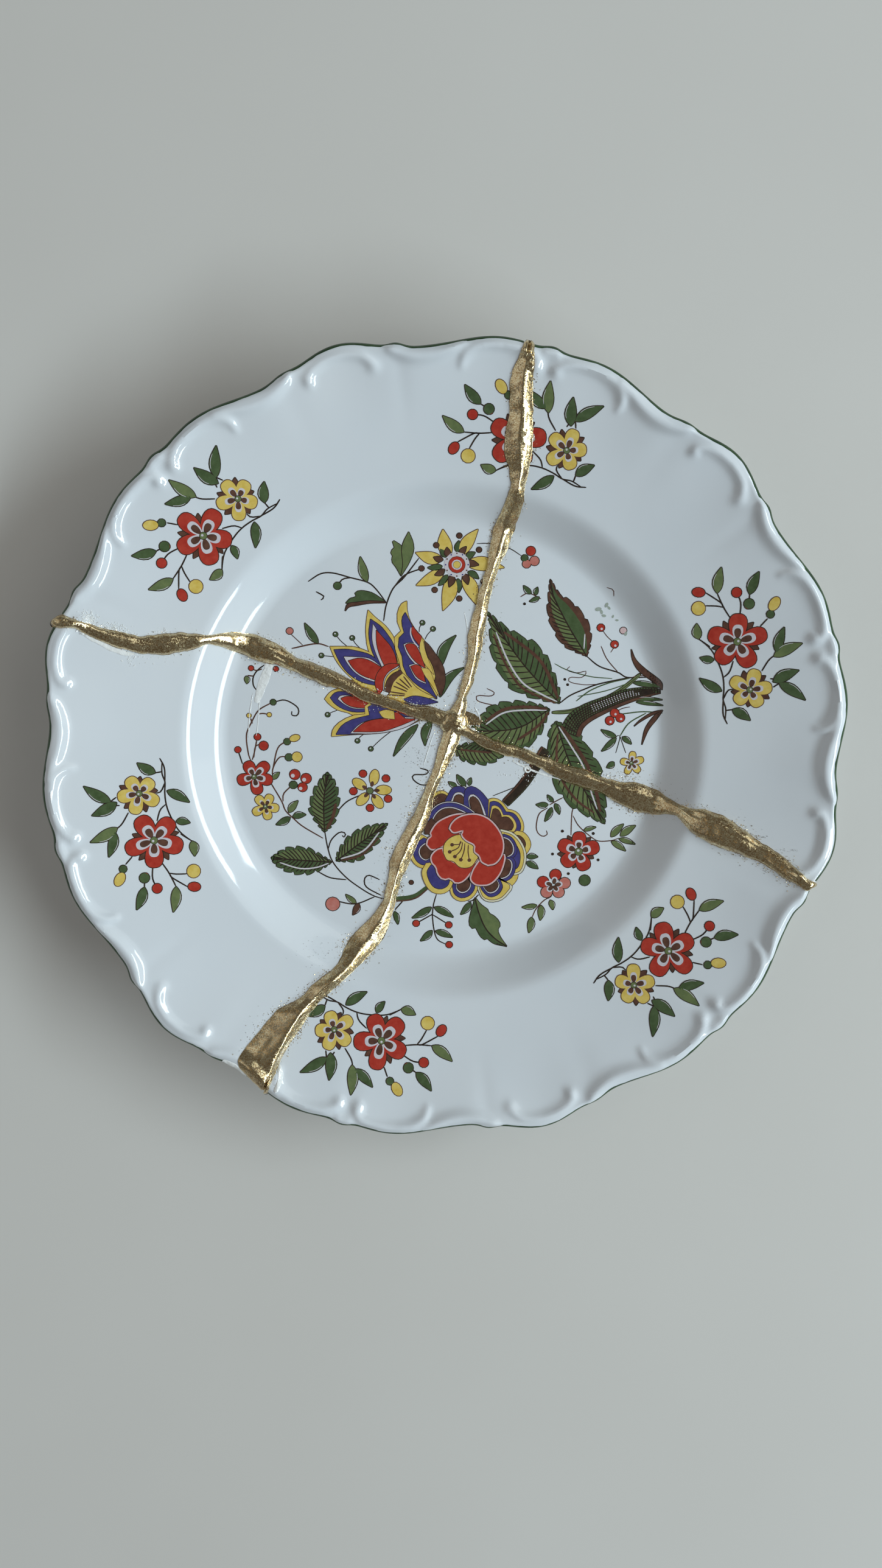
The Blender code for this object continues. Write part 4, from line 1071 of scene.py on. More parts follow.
for x, y in ((-6.9, -46.0), (1.3, -46.4), (1.4, -51.5)):
    disc("red", x, y, 0.8, 2)
rib = (7.9, -39.4, 8.7, -42.8, 10.4, -47, 12.9, -49.9, 15.9, -51.9)
paint("dark", between((7.9, -39.4, 7.2, -42, 6.5, -44.8, 6.6, -46.6, 7.6, -47.5, 8.2, -47.1,
                       8.8, -48.6, 10.1, -50.2, 10.8, -49.8, 12.7, -51.2, 15.9, -51.9), rib, 36),
      2)
paint("light", between((7.9, -39.4, 9.4, -41.2, 11.2, -42.6, 11.3, -43.4, 12.6, -44.1, 13.9, -45.5,
                        14.1, -46.8, 13.6, -47.7, 14.3, -49.6, 15.9, -51.9), rib, 36), 3)
line("ink", rib, 0.3, 5)

# The leaves and the branch on the right.
big_leaf((28.6, 9.5, 23.6, 10.6, 19.7, 11.8, 16.1, 13.9, 13.6, 17.9, 12.2, 20.7, 11.5, 25,
          11.5, 28.9, 10.6, 32), (28.6, 9.5, 28.3, 12.9, 27.6, 15, 26.7, 17.5, 24.7, 21.6,
                                  21.9, 24.5, 19, 25.9, 15.1, 28.2, 10.6, 32),
         (28.6, 9.5, 20, 18.6, 11, 31),
         (("brown", 0.8, (14.7, 27.1, 21.9, 21.8, 25.1, 17.9, 28.2, 10.6)),
          ("white", 0.42, (12.8, 27.1, 15.8, 20, 19.4, 14.6, 24, 11.8, 28, 9.9)),
          ("brown", 0.6, (12.2, 26.6, 15.1, 19.4, 18.8, 13.8, 23.5, 11.2, 27.6, 9.6))), 0, 15)
big_leaf((26.1, 8, 23.3, 9.1, 19, 9.8, 14.4, 9.5, 11.1, 8.2, 7, 3.6),
         (26.1, 8, 24, 2.5, 21.9, 0, 19.4, -1.6, 13, -1.4, 7, 3.6), (26.1, 8, 18.3, 3.4, 7.6, 2.4),
         (("brown", 0.75, (10.1, 4.9, 14.7, 7.9, 19.7, 8.6, 25.6, 8.1)),
          ("white", 0.4, (10.3, 4.2, 14.7, 7.1, 19.7, 7.8, 25.4, 7.8)),
          ("brown", 0.7, (26, 7.4, 23.3, 3.9, 18.3, 0.4))), 1, 12)
big_leaf((35.1, 21.1, 29.6, 23.8, 26.9, 27.9, 25.6, 31.4, 25.6, 34.6, 26, 39.8),
         (35.1, 21.1, 36, 25, 35.5, 28.6, 33.6, 31.8, 30.9, 34.5, 28.2, 36.3, 26, 39.8),
         (35.1, 21.1, 30.6, 28.4, 26.9, 35.6, 26, 38.8), (), 0, 16, 0.55, "brown", 0.66, 1)
line("white", (34.6, 26.6, 34.4, 22.9), 0.3, 6)
big_leaf((27.7, 5, 26.2, 2.5, 26.1, -2.5, 26.7, -8.1, 28, -11.4, 31.3, -15.6, 36, -18.6,
          40.1, -20.6),
         (27.7, 5, 31.9, 3.1, 34, 0.9, 36.2, -2.5, 38, -5, 39.3, -8.8, 40.1, -13, 40.1, -20.6),
         (27.7, 5, 31.6, -6, 39.2, -19.4),
         (("white", 0.4, (28.4, 3.75, 31.6, -1.25, 34.6, -6.25, 36.6, -12.5, 38.2, -17)),
          ("brown", 0.9, (29, 3.9, 32.5, -1, 35.6, -6, 37.7, -12, 39, -17.6)),
          ("brown", 0.6, (28.2, 2, 28, -4, 29.4, -9.6, 33.1, -14.7, 37.5, -17.9))), 0, 15)
big_leaf((2.4, -1.8, 6, -0.6, 11, -1, 16.5, -2.2), (2.4, -1.8, 5, -4.6, 11, -5.4, 16.5, -2.2),
         (2.4, -1.8, 9, -2.4, 16.5, -2.2), (("brown", 0.5, (4, -2, 11.9, -2.8)),), 1, 11)
for colour, width, points in (
        ("ink", 1.15, (26.6, 7.2, 31.1, 7.5, 35.1, 8.8, 39.7, 10.6, 44, 13.1, 48.5, 16.9)),
        ("light", 0.8, (26.8, 7.2, 31.1, 7.5, 35.1, 8.8, 39.7, 10.6, 44, 13.1, 48.3, 16.6)),
        ("ink", 0.16, (28, 7.3, 33, 8.1, 39.7, 10.6, 44, 13.1, 48, 16.3)),
        ("ink", 0.34, (28.6, 9.5, 31.1, 11.4, 34.7, 13, 38.3, 14.3, 45.8, 15.9)),
        ("dark", 0.3, (32.6, 10, 36, 12.6, 40.6, 14.5, 45.8, 15.7)),
        ("ink", 0.34, (35.1, 21.1, 38.3, 18.6, 42.9, 17.1, 45.1, 15.9, 50, 15.9)),
        ("brown", 0.24, (38.6, 23.6, 40.1, 20.4, 42.9, 17.1)),
        ("brown", 0.2, (38.5, 28.1, 40, 26, 41.9, 24, 41, 22)),
        ("brown", 0.2, (39.7, 37.9, 41.3, 37.3, 41.5, 35.7)),
        ("dark", 0.24, (27.2, 19.3, 30.4, 17.7, 36.1, 16.1, 41.5, 15.6)),
        ("brown", 0.2, (31, 18.6, 30.4, 17.7, 32.6, 17, 35.1, 17.4, 34, 15.9, 31.1, 15.9, 31, 14.8,
                        34.4, 14.1, 38, 14.2)),
        ("brown", 0.24, (10.6, 13.2, 12.5, 12.1, 11.5, 11.3, 8.3, 11.4, 8.6, 10, 13.3, 8.8)),
        ("brown", 0.26, (18.7, 35.6, 20.8, 36.5, 23.8, 35.1)),
        ("dark", 0.3, (43.6, 6.8, 49, 7.4, 54, 7.1)),
        ("ink", 0.2, (12.2, -13.6, 17.5, -11.5)),
        ("dark", 0.3, (43.6, 1.4, 45.8, 4.6, 50, 7.1)),
        ("ink", 0.2, (42.4, 1.2, 43.6, 1.3, 42.6, -2.9)),
        ("ink", 0.2, (43.6, 1.3, 45.1, -2.9)),
        ("brown", 0.2, (42.2, 7.1, 44, 8.2, 46, 8.6)),
        ("brown", 0.26, (53.5, 14.2, 49.5, 16.2, 46.5, 16)),
        ("dark", 0.24, (33, 11.2, 40, 12.6, 47, 15))):
    line(colour, points, width, 1.4 if colour == "light" else 1.8 if width == 0.16 else 1)
BRANCH = (31.2, 1.6, 32.4, 4.6, 35, 6.9, 39.7, 9.1, 45.1, 11.2, 50, 12.2, 53.6, 12.5)
BRANCH_WIDTHS = (5.0, 4.7, 4.2, 3.6, 3.4, 2.6, 1.0)
LOW_BRANCH = (25.4, -1.8, 22.5, -6.5, 19.5, -11, 15.2, -15.6)
for spine, widths in ((BRANCH, BRANCH_WIDTHS), (LOW_BRANCH, (2.6, 2.4, 2.2, 2.0))):
    rows = 40
    middle = walked(spine, rows, 0.0)
    side = left_of(middle)
    half = np.interp(np.linspace(0, len(widths) - 1, rows), range(len(widths)), widths)[:, None] / 2
    share = np.linspace(-1.0, 1.0, 5)[None, :, None]
    paint("dark", middle[:, None, :] + (side * half)[:, None, :] * share, 2)
    paint("brown", middle[:, None, :] + (side * half)[:, None, :] * (share * 0.2 - 0.8), 3, 0.0)
    for aside in (-0.55, -0.3, -0.05, 0.2, 0.45, 0.7):   # ink lines along it
        line("ink", middle + side * half * aside, 0.3, 3.5, 0.2)
    for i in range(1, rows - 3):   # and slanting ones across
        line("ink", (middle[i] - side[i] * half[i] * 0.6,
                     middle[i + 2] + side[i + 2] * half[i + 2]), 0.3, 3.6, 0.0)
        if widths is BRANCH_WIDTHS and 0.3 < i / rows < 0.8:   # bare glints between the lines
            for aside in (-0.15, 0.1, 0.33, 0.57)[:2 + 2 * (half[i, 0] > 1.5)]:
                disc("white", *(middle[i] + side[i] * half[i] * aside), 0.13, 4, 0.0)
for colour, leaves in (
        ("dark", ((21.3, 36.4, 19.5, 38.3, 0.6), (22.4, 36.1, 22.9, 37.9, 0.5),
                  (23.3, 35.5, 21.0, 34.5, 0.5), (46.6, 14.6, 53.6, 13.5, 0.6),
                  (42.6, 1.2, 38.9, 2.9, 0.65), (42.6, 0.9, 39.1, -2.4, 0.65),
                  (44.2, 1.1, 46.4, -0.6, 0.6), (42.2, -5.2, 40.4, -6.5, 0.7),
                  (46.0, 10.6, 53.8, 10.4, 0.45), (47.5, 9.8, 54.0, 9.0, 0.4),
                  (25.9, -15.8, 23.0, -15.8, 0.65), (27.2, -15.0, 25.8, -13.4, 0.5),
                  (27.7, -15.6, 28.8, -18.2, 0.6), (26.9, -16.6, 25.2, -20.0, 0.65))),
        ("light", ((35.0, -22.3, 37.9, -21.5, 0.45), (41.75, -23.9, 44.8, -20.75, 0.8),
                   (44.1, -23.7, 47.8, -21.1, 0.85), (43.8, -24.5, 47.7, -25.75, 0.6),
                   (41.9, -25.1, 45.4, -27.5, 0.7), (26.75, -40.1, 27.4, -42.5, 0.65),
                   (24.4, -41.4, 24.25, -45.2, 0.8), (22.1, -44.5, 21.4, -48.4, 0.85),
                   (23.3, -41.4, 19.7, -41.9, 0.6)))):
    for blade in leaves:
        leaf(colour, *blade)
for one, two in (
        ((53.7, 12.9, 51, 15.2, 47.9, 17.6, 46.4, 20.2, 46, 22.8),
         (53.7, 12.9, 53.3, 15, 49.6, 17.9, 47.2, 20.2, 46, 22.8)),
        ((54, 7.8, 52.6, 5.6, 50.6, 3, 49, -0.8), (54, 7.8, 52, 6.4, 49.8, 3.2, 49, -0.8)),
        ((54, 7.8, 51.4, 7.2, 48.6, 5.4, 47, 3.8), (54, 7.8, 51.4, 6.6, 48.6, 5, 47, 3.8))):
    paint("brown", between(one, two, 30, 4), 2)
for x, y, radius in ((37.8, 32.6, 0.5), (38.6, 31.9, 0.35), (39.8, 33.6, 0.4), (40.4, 32.9, 0.3),
                     (39.2, 31.0, 0.35), (41.4, 30.8, 0.25), (42.4, 29.9, 0.25),
                     (44.6, 26.6, 0.35)):
    disc("faded", x, y, radius, 2, 0.0, 1.6, x * 2.0)
for colour, x, y, radius in (
        ("pink", 22.1, 44.3, 1.1), ("red", 21.2, 46.7, 1.1), ("pink", 20.2, 43.6, 1.0),
        ("red", 38.5, 28.1, 0.9), ("red", 41.9, 24.0, 0.9), ("dark", 19.7, 45.0, 0.8),
        ("blush", 44.0, 27.4, 0.8), ("ink", 19.75, 33.9, 0.16), ("ink", 29.8, 15.4, 0.16),
        ("ink", 30.5, 14.1, 0.16), ("red", 42.2, 7.1, 1.05), ("red", 43.6, 5.9, 1.05),
        ("red", 41.0, 5.2, 1.05), ("ink", 29.6, -22.5, 0.2), ("ink", 27.2, -28.3, 0.18),
        ("ink", 38.6, -29.8, 0.18), ("ink", 31.2, -33.3, 0.18), ("ink", 37.3, -23.1, 0.2),
        ("dark", 35.3, -35.0, 1.35)):
    disc(colour, x, y, radius, 2)
for x, y in ((42.2, 7.1), (43.6, 5.9), (41.0, 5.2), (38.5, 28.1), (41.9, 24.0)):
    disc("white", x + 0.2, y - 0.3, 0.3, 3, 0.0)
for points in ((26.3, -15.9, 27.8, -15, 29.7, -14),
               (25.9, -16.6, 23.8, -18.1, 23.1, -20.9, 23.4, -22.8, 24.7, -23.8, 25.8, -23.3,
                25.6, -22.3), (32.4, -16.1, 31.9, -18.3, 31.75, -23.6),
               (32.2, -18.6, 33.6, -21.1, 36.3, -23.6, 38.6, -25, 41.75, -24.9, 43.8, -24.25),
               (27.2, -38.6, 26.75, -39.3, 25.2, -40.1, 23.2, -42.3, 22.2, -44.5)):
    line("brown", points, 0.26)
blossom("red", 33.7, -27.7, ((33.8, -24.3, 1.9), (37.1, -26.7, 2.0), (34.9, -30.8, 2.0),
                             (31.1, -29.9, 2.0), (30.3, -26.2, 2.0)), 0.95, 1.0, 2,
        (31, -23.7, 36.6, -24.2, 37.4, -29.4, 32.4, -31.8, 28.5, -28.3))
blossom("yellow", 46.5, -5.4, ((46.8, -3.3, 0.9), (48.7, -4.6, 0.95), (48.0, -7.0, 0.9),
                               (45.6, -7.4, 0.85), (44.6, -5.0, 0.9)), 0.45, 1.3)
ROSETTE = (27.5, -36.3)
for x, y, colour in ((28.0, -33.6, "red"), (24.9, -35.4, "red"), (25.8, -38.0, "pink"),
                     (28.8, -38.0, "pink"), (30.3, -35.7, "pink")):
    disc(colour, x, y, 1.4, 2)
    disc("white", *towards(x, y, ROSETTE, 0.55), 0.75, 3, 0.0)
    disc("brown", *towards(x, y, ROSETTE, 0.4), 0.4, 4, 0.1, 1.7,
         math.atan2(y - ROSETTE[1], x - ROSETTE[0]))
fire_on("bouquet_", (lambda plan: plan,), BOUQUET_COAT)


# ---------------------------------------------------------------------------------------------
# The six sprigs on the rim
# The same spray of a red and a yellow flower, painted once between each pair of scallops, in the
# enamels of the bouquet. It is drawn to the right and outwards from a point 73 mm out.
# ---------------------------------------------------------------------------------------------

SPRIG_RADIUS, SPRIG_ANGLE = 73.0, 14.7
SPRIG_COAT = 0.018     # the sprigs have fewer coats, each laid on thicker
# How far each one slipped to the right and outwards when it was laid on by hand.
SPRIG_SLIPS = ((-1.5, -1.5), (2.4, -0.8), (0.0, 0.0), (0.7, -1.8), (0.6, -0.9), (1.5, -1.0))


def sprig_place(number):
    """What turns the sprig's plan to its place in a sixth of the rim, outwards from the middle."""
    angle = math.radians(SPRIG_ANGLE + 60.0 * number)
    out = np.array((math.cos(angle), math.sin(angle)))
    right = np.array((math.sin(angle), -math.cos(angle)))
    slip_right, slip_out = SPRIG_SLIPS[number]
    return lambda plan: ((plan[..., 1:] + SPRIG_RADIUS + slip_out) * out
                         + (plan[..., :1] + slip_right) * right)


for points in ((-8.85, 11, -7.4, 8.9), (-16.65, 5.4, -14, 5.8, -10.9, 4.9),
               (-17.6, 1, -14, 1.7, -10.9, 2.7), (-18.4, -1.6, -15.2, 1.3, -14, 1.7),
               (-15.3, -2.3, -14.6, 0.2, -13.9, 1.7), (-13.3, 7.6, -15.5, 8.2),
               (-7.9, -5.5, -4.6, -3.3, -0.5, -2.3, 2.5, -2.1, 5.4, -2.55, 7.9, -3.3, 10.1, -3.2,
                12.8, -3.95), (7.9, -3.3, 11.3, -4.1, 13.9, -3.7),
               (-0.8, 1.1, 1.6, -0.35, 2.6, -2), (5.85, -0.5, 6, -1.8, 7.8, -3.3),
               (10.55, -3.45, 10.7, -1.7), (0.1, 10.7, 1, 9.05, 3.2, 6.9), (5.4, 8.4, 6, 10),
               (7.6, 8.6, 6.9, 10.4), (-5.4, -3.4, -7.9, -5.6)):
    line("ink", points, 0.34)
for colour, leaves in (
        ("dark", ((-15.5, 8.2, -20.2, 11.35, 1.15), (-2.1, -3.3, -3.4, -6.3, 0.85),
                  (5.7, -3.2, 1.5, -7.5, 1.1), (10.7, -1.7, 14.2, 1.7, 1.15),
                  (6.3, 8.9, 4.95, 15.2, 1.3), (6.9, 10.2, 12.3, 15.1, 1.2),
                  (-0.5, 11.2, -5.9, 14.2, 1.1))),
        ("light", ((-17.6, 1.0, -23.35, 3.25, 1.15), (-7.9, -5.6, -11.6, -5.2, 1.05),
                   (0.35, 10.4, -1.2, 17.3, 1.25)))):
    for blade in leaves:
        leaf(colour, *blade)
for colour, x, y, radius in (
        ("dark", -13.3, 7.6, 1.2), ("red", -12.9, 7.2, 0.7), ("red", -16.65, 5.4, 1.15),
        ("yellow", -15.1, -4.0, 1.6), ("dark", -9.7, 11.8, 0.9)):
    disc(colour, x, y, radius, 2)
disc("yellow", -11.9, 13.2, 1.15, 2, long=1.5, turn=2.4)
disc("red", -18.85, -3.15, 1.1, 2, long=1.35, turn=1.2)
blossom("red", -5.1, 3.0, ((-5.4, 8.0, 2.35), (-0.6, 4.3, 2.5), (-2.5, -0.8, 2.4),
                           (-7.6, -1.2, 2.5), (-9.6, 4.2, 2.4)), 0.85, 1.0, 2,
        (-8.7, 7.6, -2.2, 7.4, -10.6, 1, -4.9, -3))
blossom("yellow", 6.95, 3.25,
        ((7.3, 6.8, 1.8), (9.9, 4.2, 1.8), (8.5, 0.7, 1.8), (4.5, 0.7, 1.8), (3.8, 5.0, 1.8)), 0.7,
        0.85, 2, (4.5, 7.5, 10, 7.1, 10.8, 1.9, 6.4, -1, 2.2, 2.9))
fire_on("sprigs_", [sprig_place(number) for number in range(6)], SPRIG_COAT)


# ---------------------------------------------------------------------------------------------
# The gold seam
# Two-part epoxy squeezed through the breaks, standing up as a bead on both faces and wiped round
# the lip, then rolled in gold powder and leaf while tacky. It cured as one mass.
# ---------------------------------------------------------------------------------------------

SEAM_SPACING = 0.35    # from one section of the seam to the next
PAST_RIM = 2.6
WEB_WIDTH = 0.3
SUNK = 0.06            # how far the bead's feathered edge goes into the glaze
RING_GAP = 0.15        # how far the bead stays above the table at the foot ring
FLANGE = 0.16          # height of the feathered flange at the crown's foot
CROWN, CROWN_PER_WIDTH = 0.5, 0.19
# How fast the crown falls off from its middle, how blunt its edge is, and how deep its folds are.
RIDGE, ROLL = (1.26, 0.9, 0.5), (2.3, 0.62, 1.0)
LUMP_CENTRE, LUMP_SIZE, LUMP_HEIGHT = (2.4, 4.8), (3.6, 3.2), 2.0
NOTCHES = {            # the open crack at the rim: where it starts, where it ends, its half width
    "top": ((19.3, 92.0), (19.95, 96.0), 0.33),
    "bottom": ((-43.3, -82.0), (-44.9, -85.6), 0.28),
}


def on_skin(x, y, lift, side=1):
    """A place on the porcelain's skin, lifted off it: vertically on the faces, and straight out
    from the lip's round beyond its start. side is 1 on the upper face and -1 underneath."""
    radius = round_radius(x, y)
    turn = np.clip((radius - LIP_START) / LIP_ROUND, 0.0, math.pi / 2)
    out = np.minimum(radius, LIP_START) + (LIP_ROUND + lift) * np.sin(turn)
    if side > 0:
        base = upper_height(radius) + relief(x, y)
    else:
        base = lower_height(radius)
    z = base + side * (lift + (LIP_ROUND + lift) * (np.cos(turn) - 1.0))
    pull = stretch(x, y, out) * out / np.hypot(x, y)
    return np.stack([x * pull, y * pull, z], axis=-1)


def seam_plan(arm):
    """The arm's break and edges in plan, evenly spaced, rounded off and led past the rim."""
    table = np.array(ARMS[arm])
    order = (0, 1) if arm in UPRIGHT_ARMS else (1, 0)
    sides = [np.stack([table[:, i], table[:, 0]], axis=1)[:, order] for i in (2, 1, 3)]
    run = sides[0][-1] - sides[0][-4]
    past = PAST_RIM * run / np.linalg.norm(run)
    sides = [np.vstack([line, line[-1] + past]) for line in sides]
    along = lengths(sides[0])
    wanted = np.arange(0.0, along[-1], SEAM_SPACING)
    return [blurred(points_at(line, along, wanted), 3.0) for line in sides], wanted


def seam_sections(arm, seed):
    """Sections of one arm: a bead whose crown is a flattened half round (on the upright arms,
    which were smoothed from both sides, a blunt ridge) over a feathered flange, with folds drawn
    out along it, then the web through the break and a plain bead beneath."""
    (middle, low, high), along = seam_plan(arm)
    wide = np.linalg.norm(high - low, axis=1)[:, None]
    for line, place in ((low, 0.0), (high, 9.0)):
        wobble = 0.16 * lumps(along / 1.9, place, seed) + 0.07 * lumps(along / 0.6, place, seed + 1)
        line += (line - middle) / np.linalg.norm(line - middle, axis=1)[:, None] * wobble[:, None]
    part = np.sin(np.linspace(-math.pi / 2, math.pi / 2, 35))[None, :]
    half = np.where(part[..., None] > 0, (high - middle)[:, None, :], (middle - low)[:, None, :])
    plan = middle[:, None, :] + half * part[..., None]
    across = part * wide / 2
    flange = 0.955 - 0.05 * lumps(along / 2.6, 5.0, seed + 2)[:, None]
    bulge, edge, rough = RIDGE if arm in UPRIGHT_ARMS else ROLL
    swell = np.clip(1.0 - np.abs(part / flange) ** bulge, 0.0, None) ** edge
    crown = CROWN + CROWN_PER_WIDTH * wide
    folds = (0.10 * lumps(along[:, None] / 5.0, across / 0.75, seed + 3)
             + 0.07 * lumps(along[:, None] / 1.3, across / 0.9, seed + 4))
    folds = folds * np.sqrt(wide / 4.0) * rough
    grain = 0.012 * lumps(along[:, None] / 0.45, across / 0.4, seed + 5)
    hills = 0.22 * rough * lumps(along / 4.5, 7.0, seed + 6)[:, None]
    lift = FLANGE + crown * swell * (1.0 + hills)
    lift += (folds + grain) * np.minimum(swell * 1.6, 1.0)
    lift = np.where(np.abs(part) > 0.995, -SUNK, lift)
    x, y = plan[..., 0], plan[..., 1]
    if arm in NOTCHES:
        (x0, y0), (x1, y1), breadth = NOTCHES[arm]
        reach = math.hypot(x1 - x0, y1 - y0)
        run = ((x - x0) * (x1 - x0) + (y - y0) * (y1 - y0)) / reach
        aside = ((x - x0) * (y1 - y0) - (y - y0) * (x1 - x0)) / reach
        cut = np.exp(-((aside / breadth) ** 2)) * smooth(run, -2.0, 1.5)
        lift = lift * (1.0 - 0.96 * cut)
    front = on_skin(x, y, lift)

    web = left_of(middle)
    web *= np.sign(np.sum(web * (high - low), axis=1))[:, None] * WEB_WIDTH / 2
    radius = round_radius(middle[:, 0], middle[:, 1])
    clear_of_foot = np.maximum((FOOT_INNER - 1.2 - radius) / 1.6, (radius - FOOT_OUTER - 2.2) / 1.4)
    share = np.clip(clear_of_foot, 0.03, 1.0)[:, None]
    back_high = web + (0.5 * (high - middle) - web) * share
    back_low = -web + (0.5 * (low - middle) + web) * share
    in_ring = (radius > FOOT_INNER - 0.3) & (radius < FOOT_OUTER + 0.3)

    def under(offset, depth):
        place = middle + offset
        made = on_skin(place[:, 0], place[:, 1], depth, side=-1)
        made[in_ring, 2] = RING_GAP
        return made

    def above(offset, depth):
        place = middle + offset
        return on_skin(place[:, 0], place[:, 1], depth)

    rim_share = smooth(radius, LIP_START - 4.0, LIP_START)
    depth = (0.12 + 0.75 * share[:, 0]) * (1 - rim_share) + 0.55 * rim_share
    arc = np.cos(np.linspace(-math.pi / 2, math.pi / 2, 9))
    back = [under(back_high * max(t, 0) + back_low * max(-t, 0), depth * c ** 0.7)
            for t, c in zip(np.linspace(1.0, -1.0, 9), arc)]
    beneath = np.full(len(middle), -SUNK)
    loop = [above(high - middle, beneath - 0.05), above(web, beneath), under(web, beneath),
            under(back_high, beneath)] + back + [under(back_low, beneath), under(-web, beneath),
            above(-web, beneath), above(low - middle, beneath - 0.05)]
    return np.concatenate([front, np.stack(loop, axis=1)], axis=1)


def junction_lump():
    """A flattened ball on the well where the arms meet, with knuckles pushed up by soft hills."""
    turn = np.linspace(0.0, math.tau, 61)[:-1]
    rise = np.linspace(-0.12, 1.0, 24) * math.pi / 2
    rise[-1] = math.pi / 2 - 0.02
    x = LUMP_CENTRE[0] + LUMP_SIZE[0] * np.cos(turn) * np.cos(rise)[:, None]
    y = LUMP_CENTRE[1] + LUMP_SIZE[1] * np.sin(turn) * np.cos(rise)[:, None]
    knuckles = 0.35 * lumps(x / 1.6, y / 1.6, 71) + 0.08 * lumps(x / 0.5, y / 0.5, 72)
    high = np.sin(rise)[:, None]
    z = WELL_FLOOR + np.where(high > 0, high * (LUMP_HEIGHT + knuckles), high * 2.0)
    return loft(np.stack([x, y, z], axis=-1))


def vector_step(material, operation, inputs):
    """One step of vector arithmetic, as a socket."""
    return add_node(material, "ShaderNodeVectorMath", {"operation": operation},
                    inputs).outputs["Vector"]


gold, shader = new_material("gold_leaf_on_epoxy")
# Brass-gold powder and crumbled leaf pressed into epoxy. Each flake is a small mirror with its own
# tilt, 0.2 mm across, so it glitters over a soft wide sheen; a clear skin over them adds long
# smooth lines of light, and browner epoxy shows in worn patches 3 to 5 mm across.
flake = add_node(gold, "ShaderNodeTexVoronoi", {"feature": "F1"}, {
    "Vector": coordinates(gold), "Scale": 4600.0, "Randomness": 1.0}).outputs["Color"]
patch = noise(gold, 240.0, 4.0, 0.6)
shade = add_node(gold, "ShaderNodeSeparateColor", inputs={"Color": flake}).outputs["Red"]
metal = add_node(gold, "ShaderNodeValToRGB", inputs={"Fac": shade})
metal.color_ramp.elements[0].color = linear("#b38b50")
metal.color_ramp.elements[1].color = linear("#f7e8bb")
worn = remapped(gold, patch, 0.44, 0.7, 0.0, 0.6)
level = add_node(gold, "ShaderNodeNewGeometry").outputs["Normal"]
centred = vector_step(gold, "SUBTRACT", {0: flake, 1: (0.5, 0.5, 0.5)})
tilt = vector_step(gold, "SCALE", {
    "Vector": centred, "Scale": remapped(gold, patch, 0.38, 0.66, 0.06, 0.46)})
facing = vector_step(gold, "NORMALIZE", {0: vector_step(gold, "ADD", {0: level, 1: tilt})})
set_shader(gold, shader, Base_Color=tinted(gold, worn, metal.outputs["Color"], "#7a5728"),
           Roughness=remapped(gold, patch, 0.35, 0.7, 0.13, 0.3), Normal=facing, Metallic=1.0,
           Coat_Weight=1.0, Coat_Roughness=0.1)

parts = [make_object("seam_" + arm, *loft(seam_sections(arm, 10 + 20 * i)), gold)
         for i, arm in enumerate(ARMS)]
parts.append(make_object("seam_lump", *junction_lump(), gold))
seam = parts[0]
seam.name = "gold_epoxy_seam"
for other in parts[1:]:
    join = seam.modifiers.new("join", "BOOLEAN")
    join.operation, join.solver, join.object = "UNION", "MANIFOLD", other
bpy.context.view_layer.update()
joined = bpy.data.meshes.new_from_object(seam.evaluated_get(bpy.context.evaluated_depsgraph_get()))
seam.modifiers.clear()
seam.data = joined
for other in parts[1:]:
    bpy.data.objects.remove(other)
joined.shade_smooth()
joined.set_sharp_from_angle(angle=math.radians(60.0))
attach(seam, "root")
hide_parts("gold_seam")


# ---------------------------------------------------------------------------------------------
# The gold dust and the clear glue beside the seam
# Powder shaken over the tacky seam clung to the plate beside it. Epoxy that was squeezed out or
# dripped without powder set clear, as thin beads, a crinkled run and threads stuck to the glaze.
# ---------------------------------------------------------------------------------------------

def flecks(name, places, largest, material, seed):
    """Flakes on the glaze, each with four corners a quarter turn apart, give or take 20 degrees,
    at their own reaches, and with its own tilt: a thin closed box with uneven sides."""
    random = np.random.default_rng(seed)
    places = places[round_radius(places[:, 0], places[:, 1]) < 93.0]
    count = len(places)
    turn = (random.uniform(0.0, math.tau, (count, 1)) + np.arange(4) * math.pi / 2
            + random.uniform(-0.35, 0.35, (count, 4)))
    reach = largest * (0.25 + 0.75 * random.beta(1.2, 3.0, (count, 1)))
    reach = reach * random.uniform(0.5, 1.0, (count, 4))
    x, y = places[:, :1] + reach * np.cos(turn), places[:, 1:] + reach * np.sin(turn)
    z = face_height(x, y)
    top = z + 0.1 + 0.06 * random.uniform(-1.0, 1.0, (count, 4))
    points = np.concatenate([np.stack([x, y, high], axis=-1) for high in (top, z - 0.03)], axis=1)
    i = np.arange(4)
    box = np.vstack([i, i[::-1] + 4, np.stack([i, i + 4, (i + 1) % 4 + 4, (i + 1) % 4], axis=1)])
    boxes = box + 8 * np.arange(count)[:, None, None]
    made = make_object(name, points.reshape(-1, 3), boxes.reshape(-1, 4), material)
    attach(made, "root")


def strewn(arm, side, count, reach, seed):
    """Places in drifts along one edge of an arm, thinning out to the side over about reach mm."""
    random = np.random.default_rng(seed)
    lines, along = seam_plan(arm)
    drift = np.clip(0.3 + lumps(along / 5.0, 2.0, seed), 0.03, None)
    at = random.choice(len(along), count, p=drift / drift.sum())
    away = (lines[side] - lines[0])[at]
    away /= np.linalg.norm(away, axis=1)[:, None]
    away *= random.exponential(reach, (count, 1))
    return lines[side][at] + away + random.normal(0.0, 0.3, (count, 2))


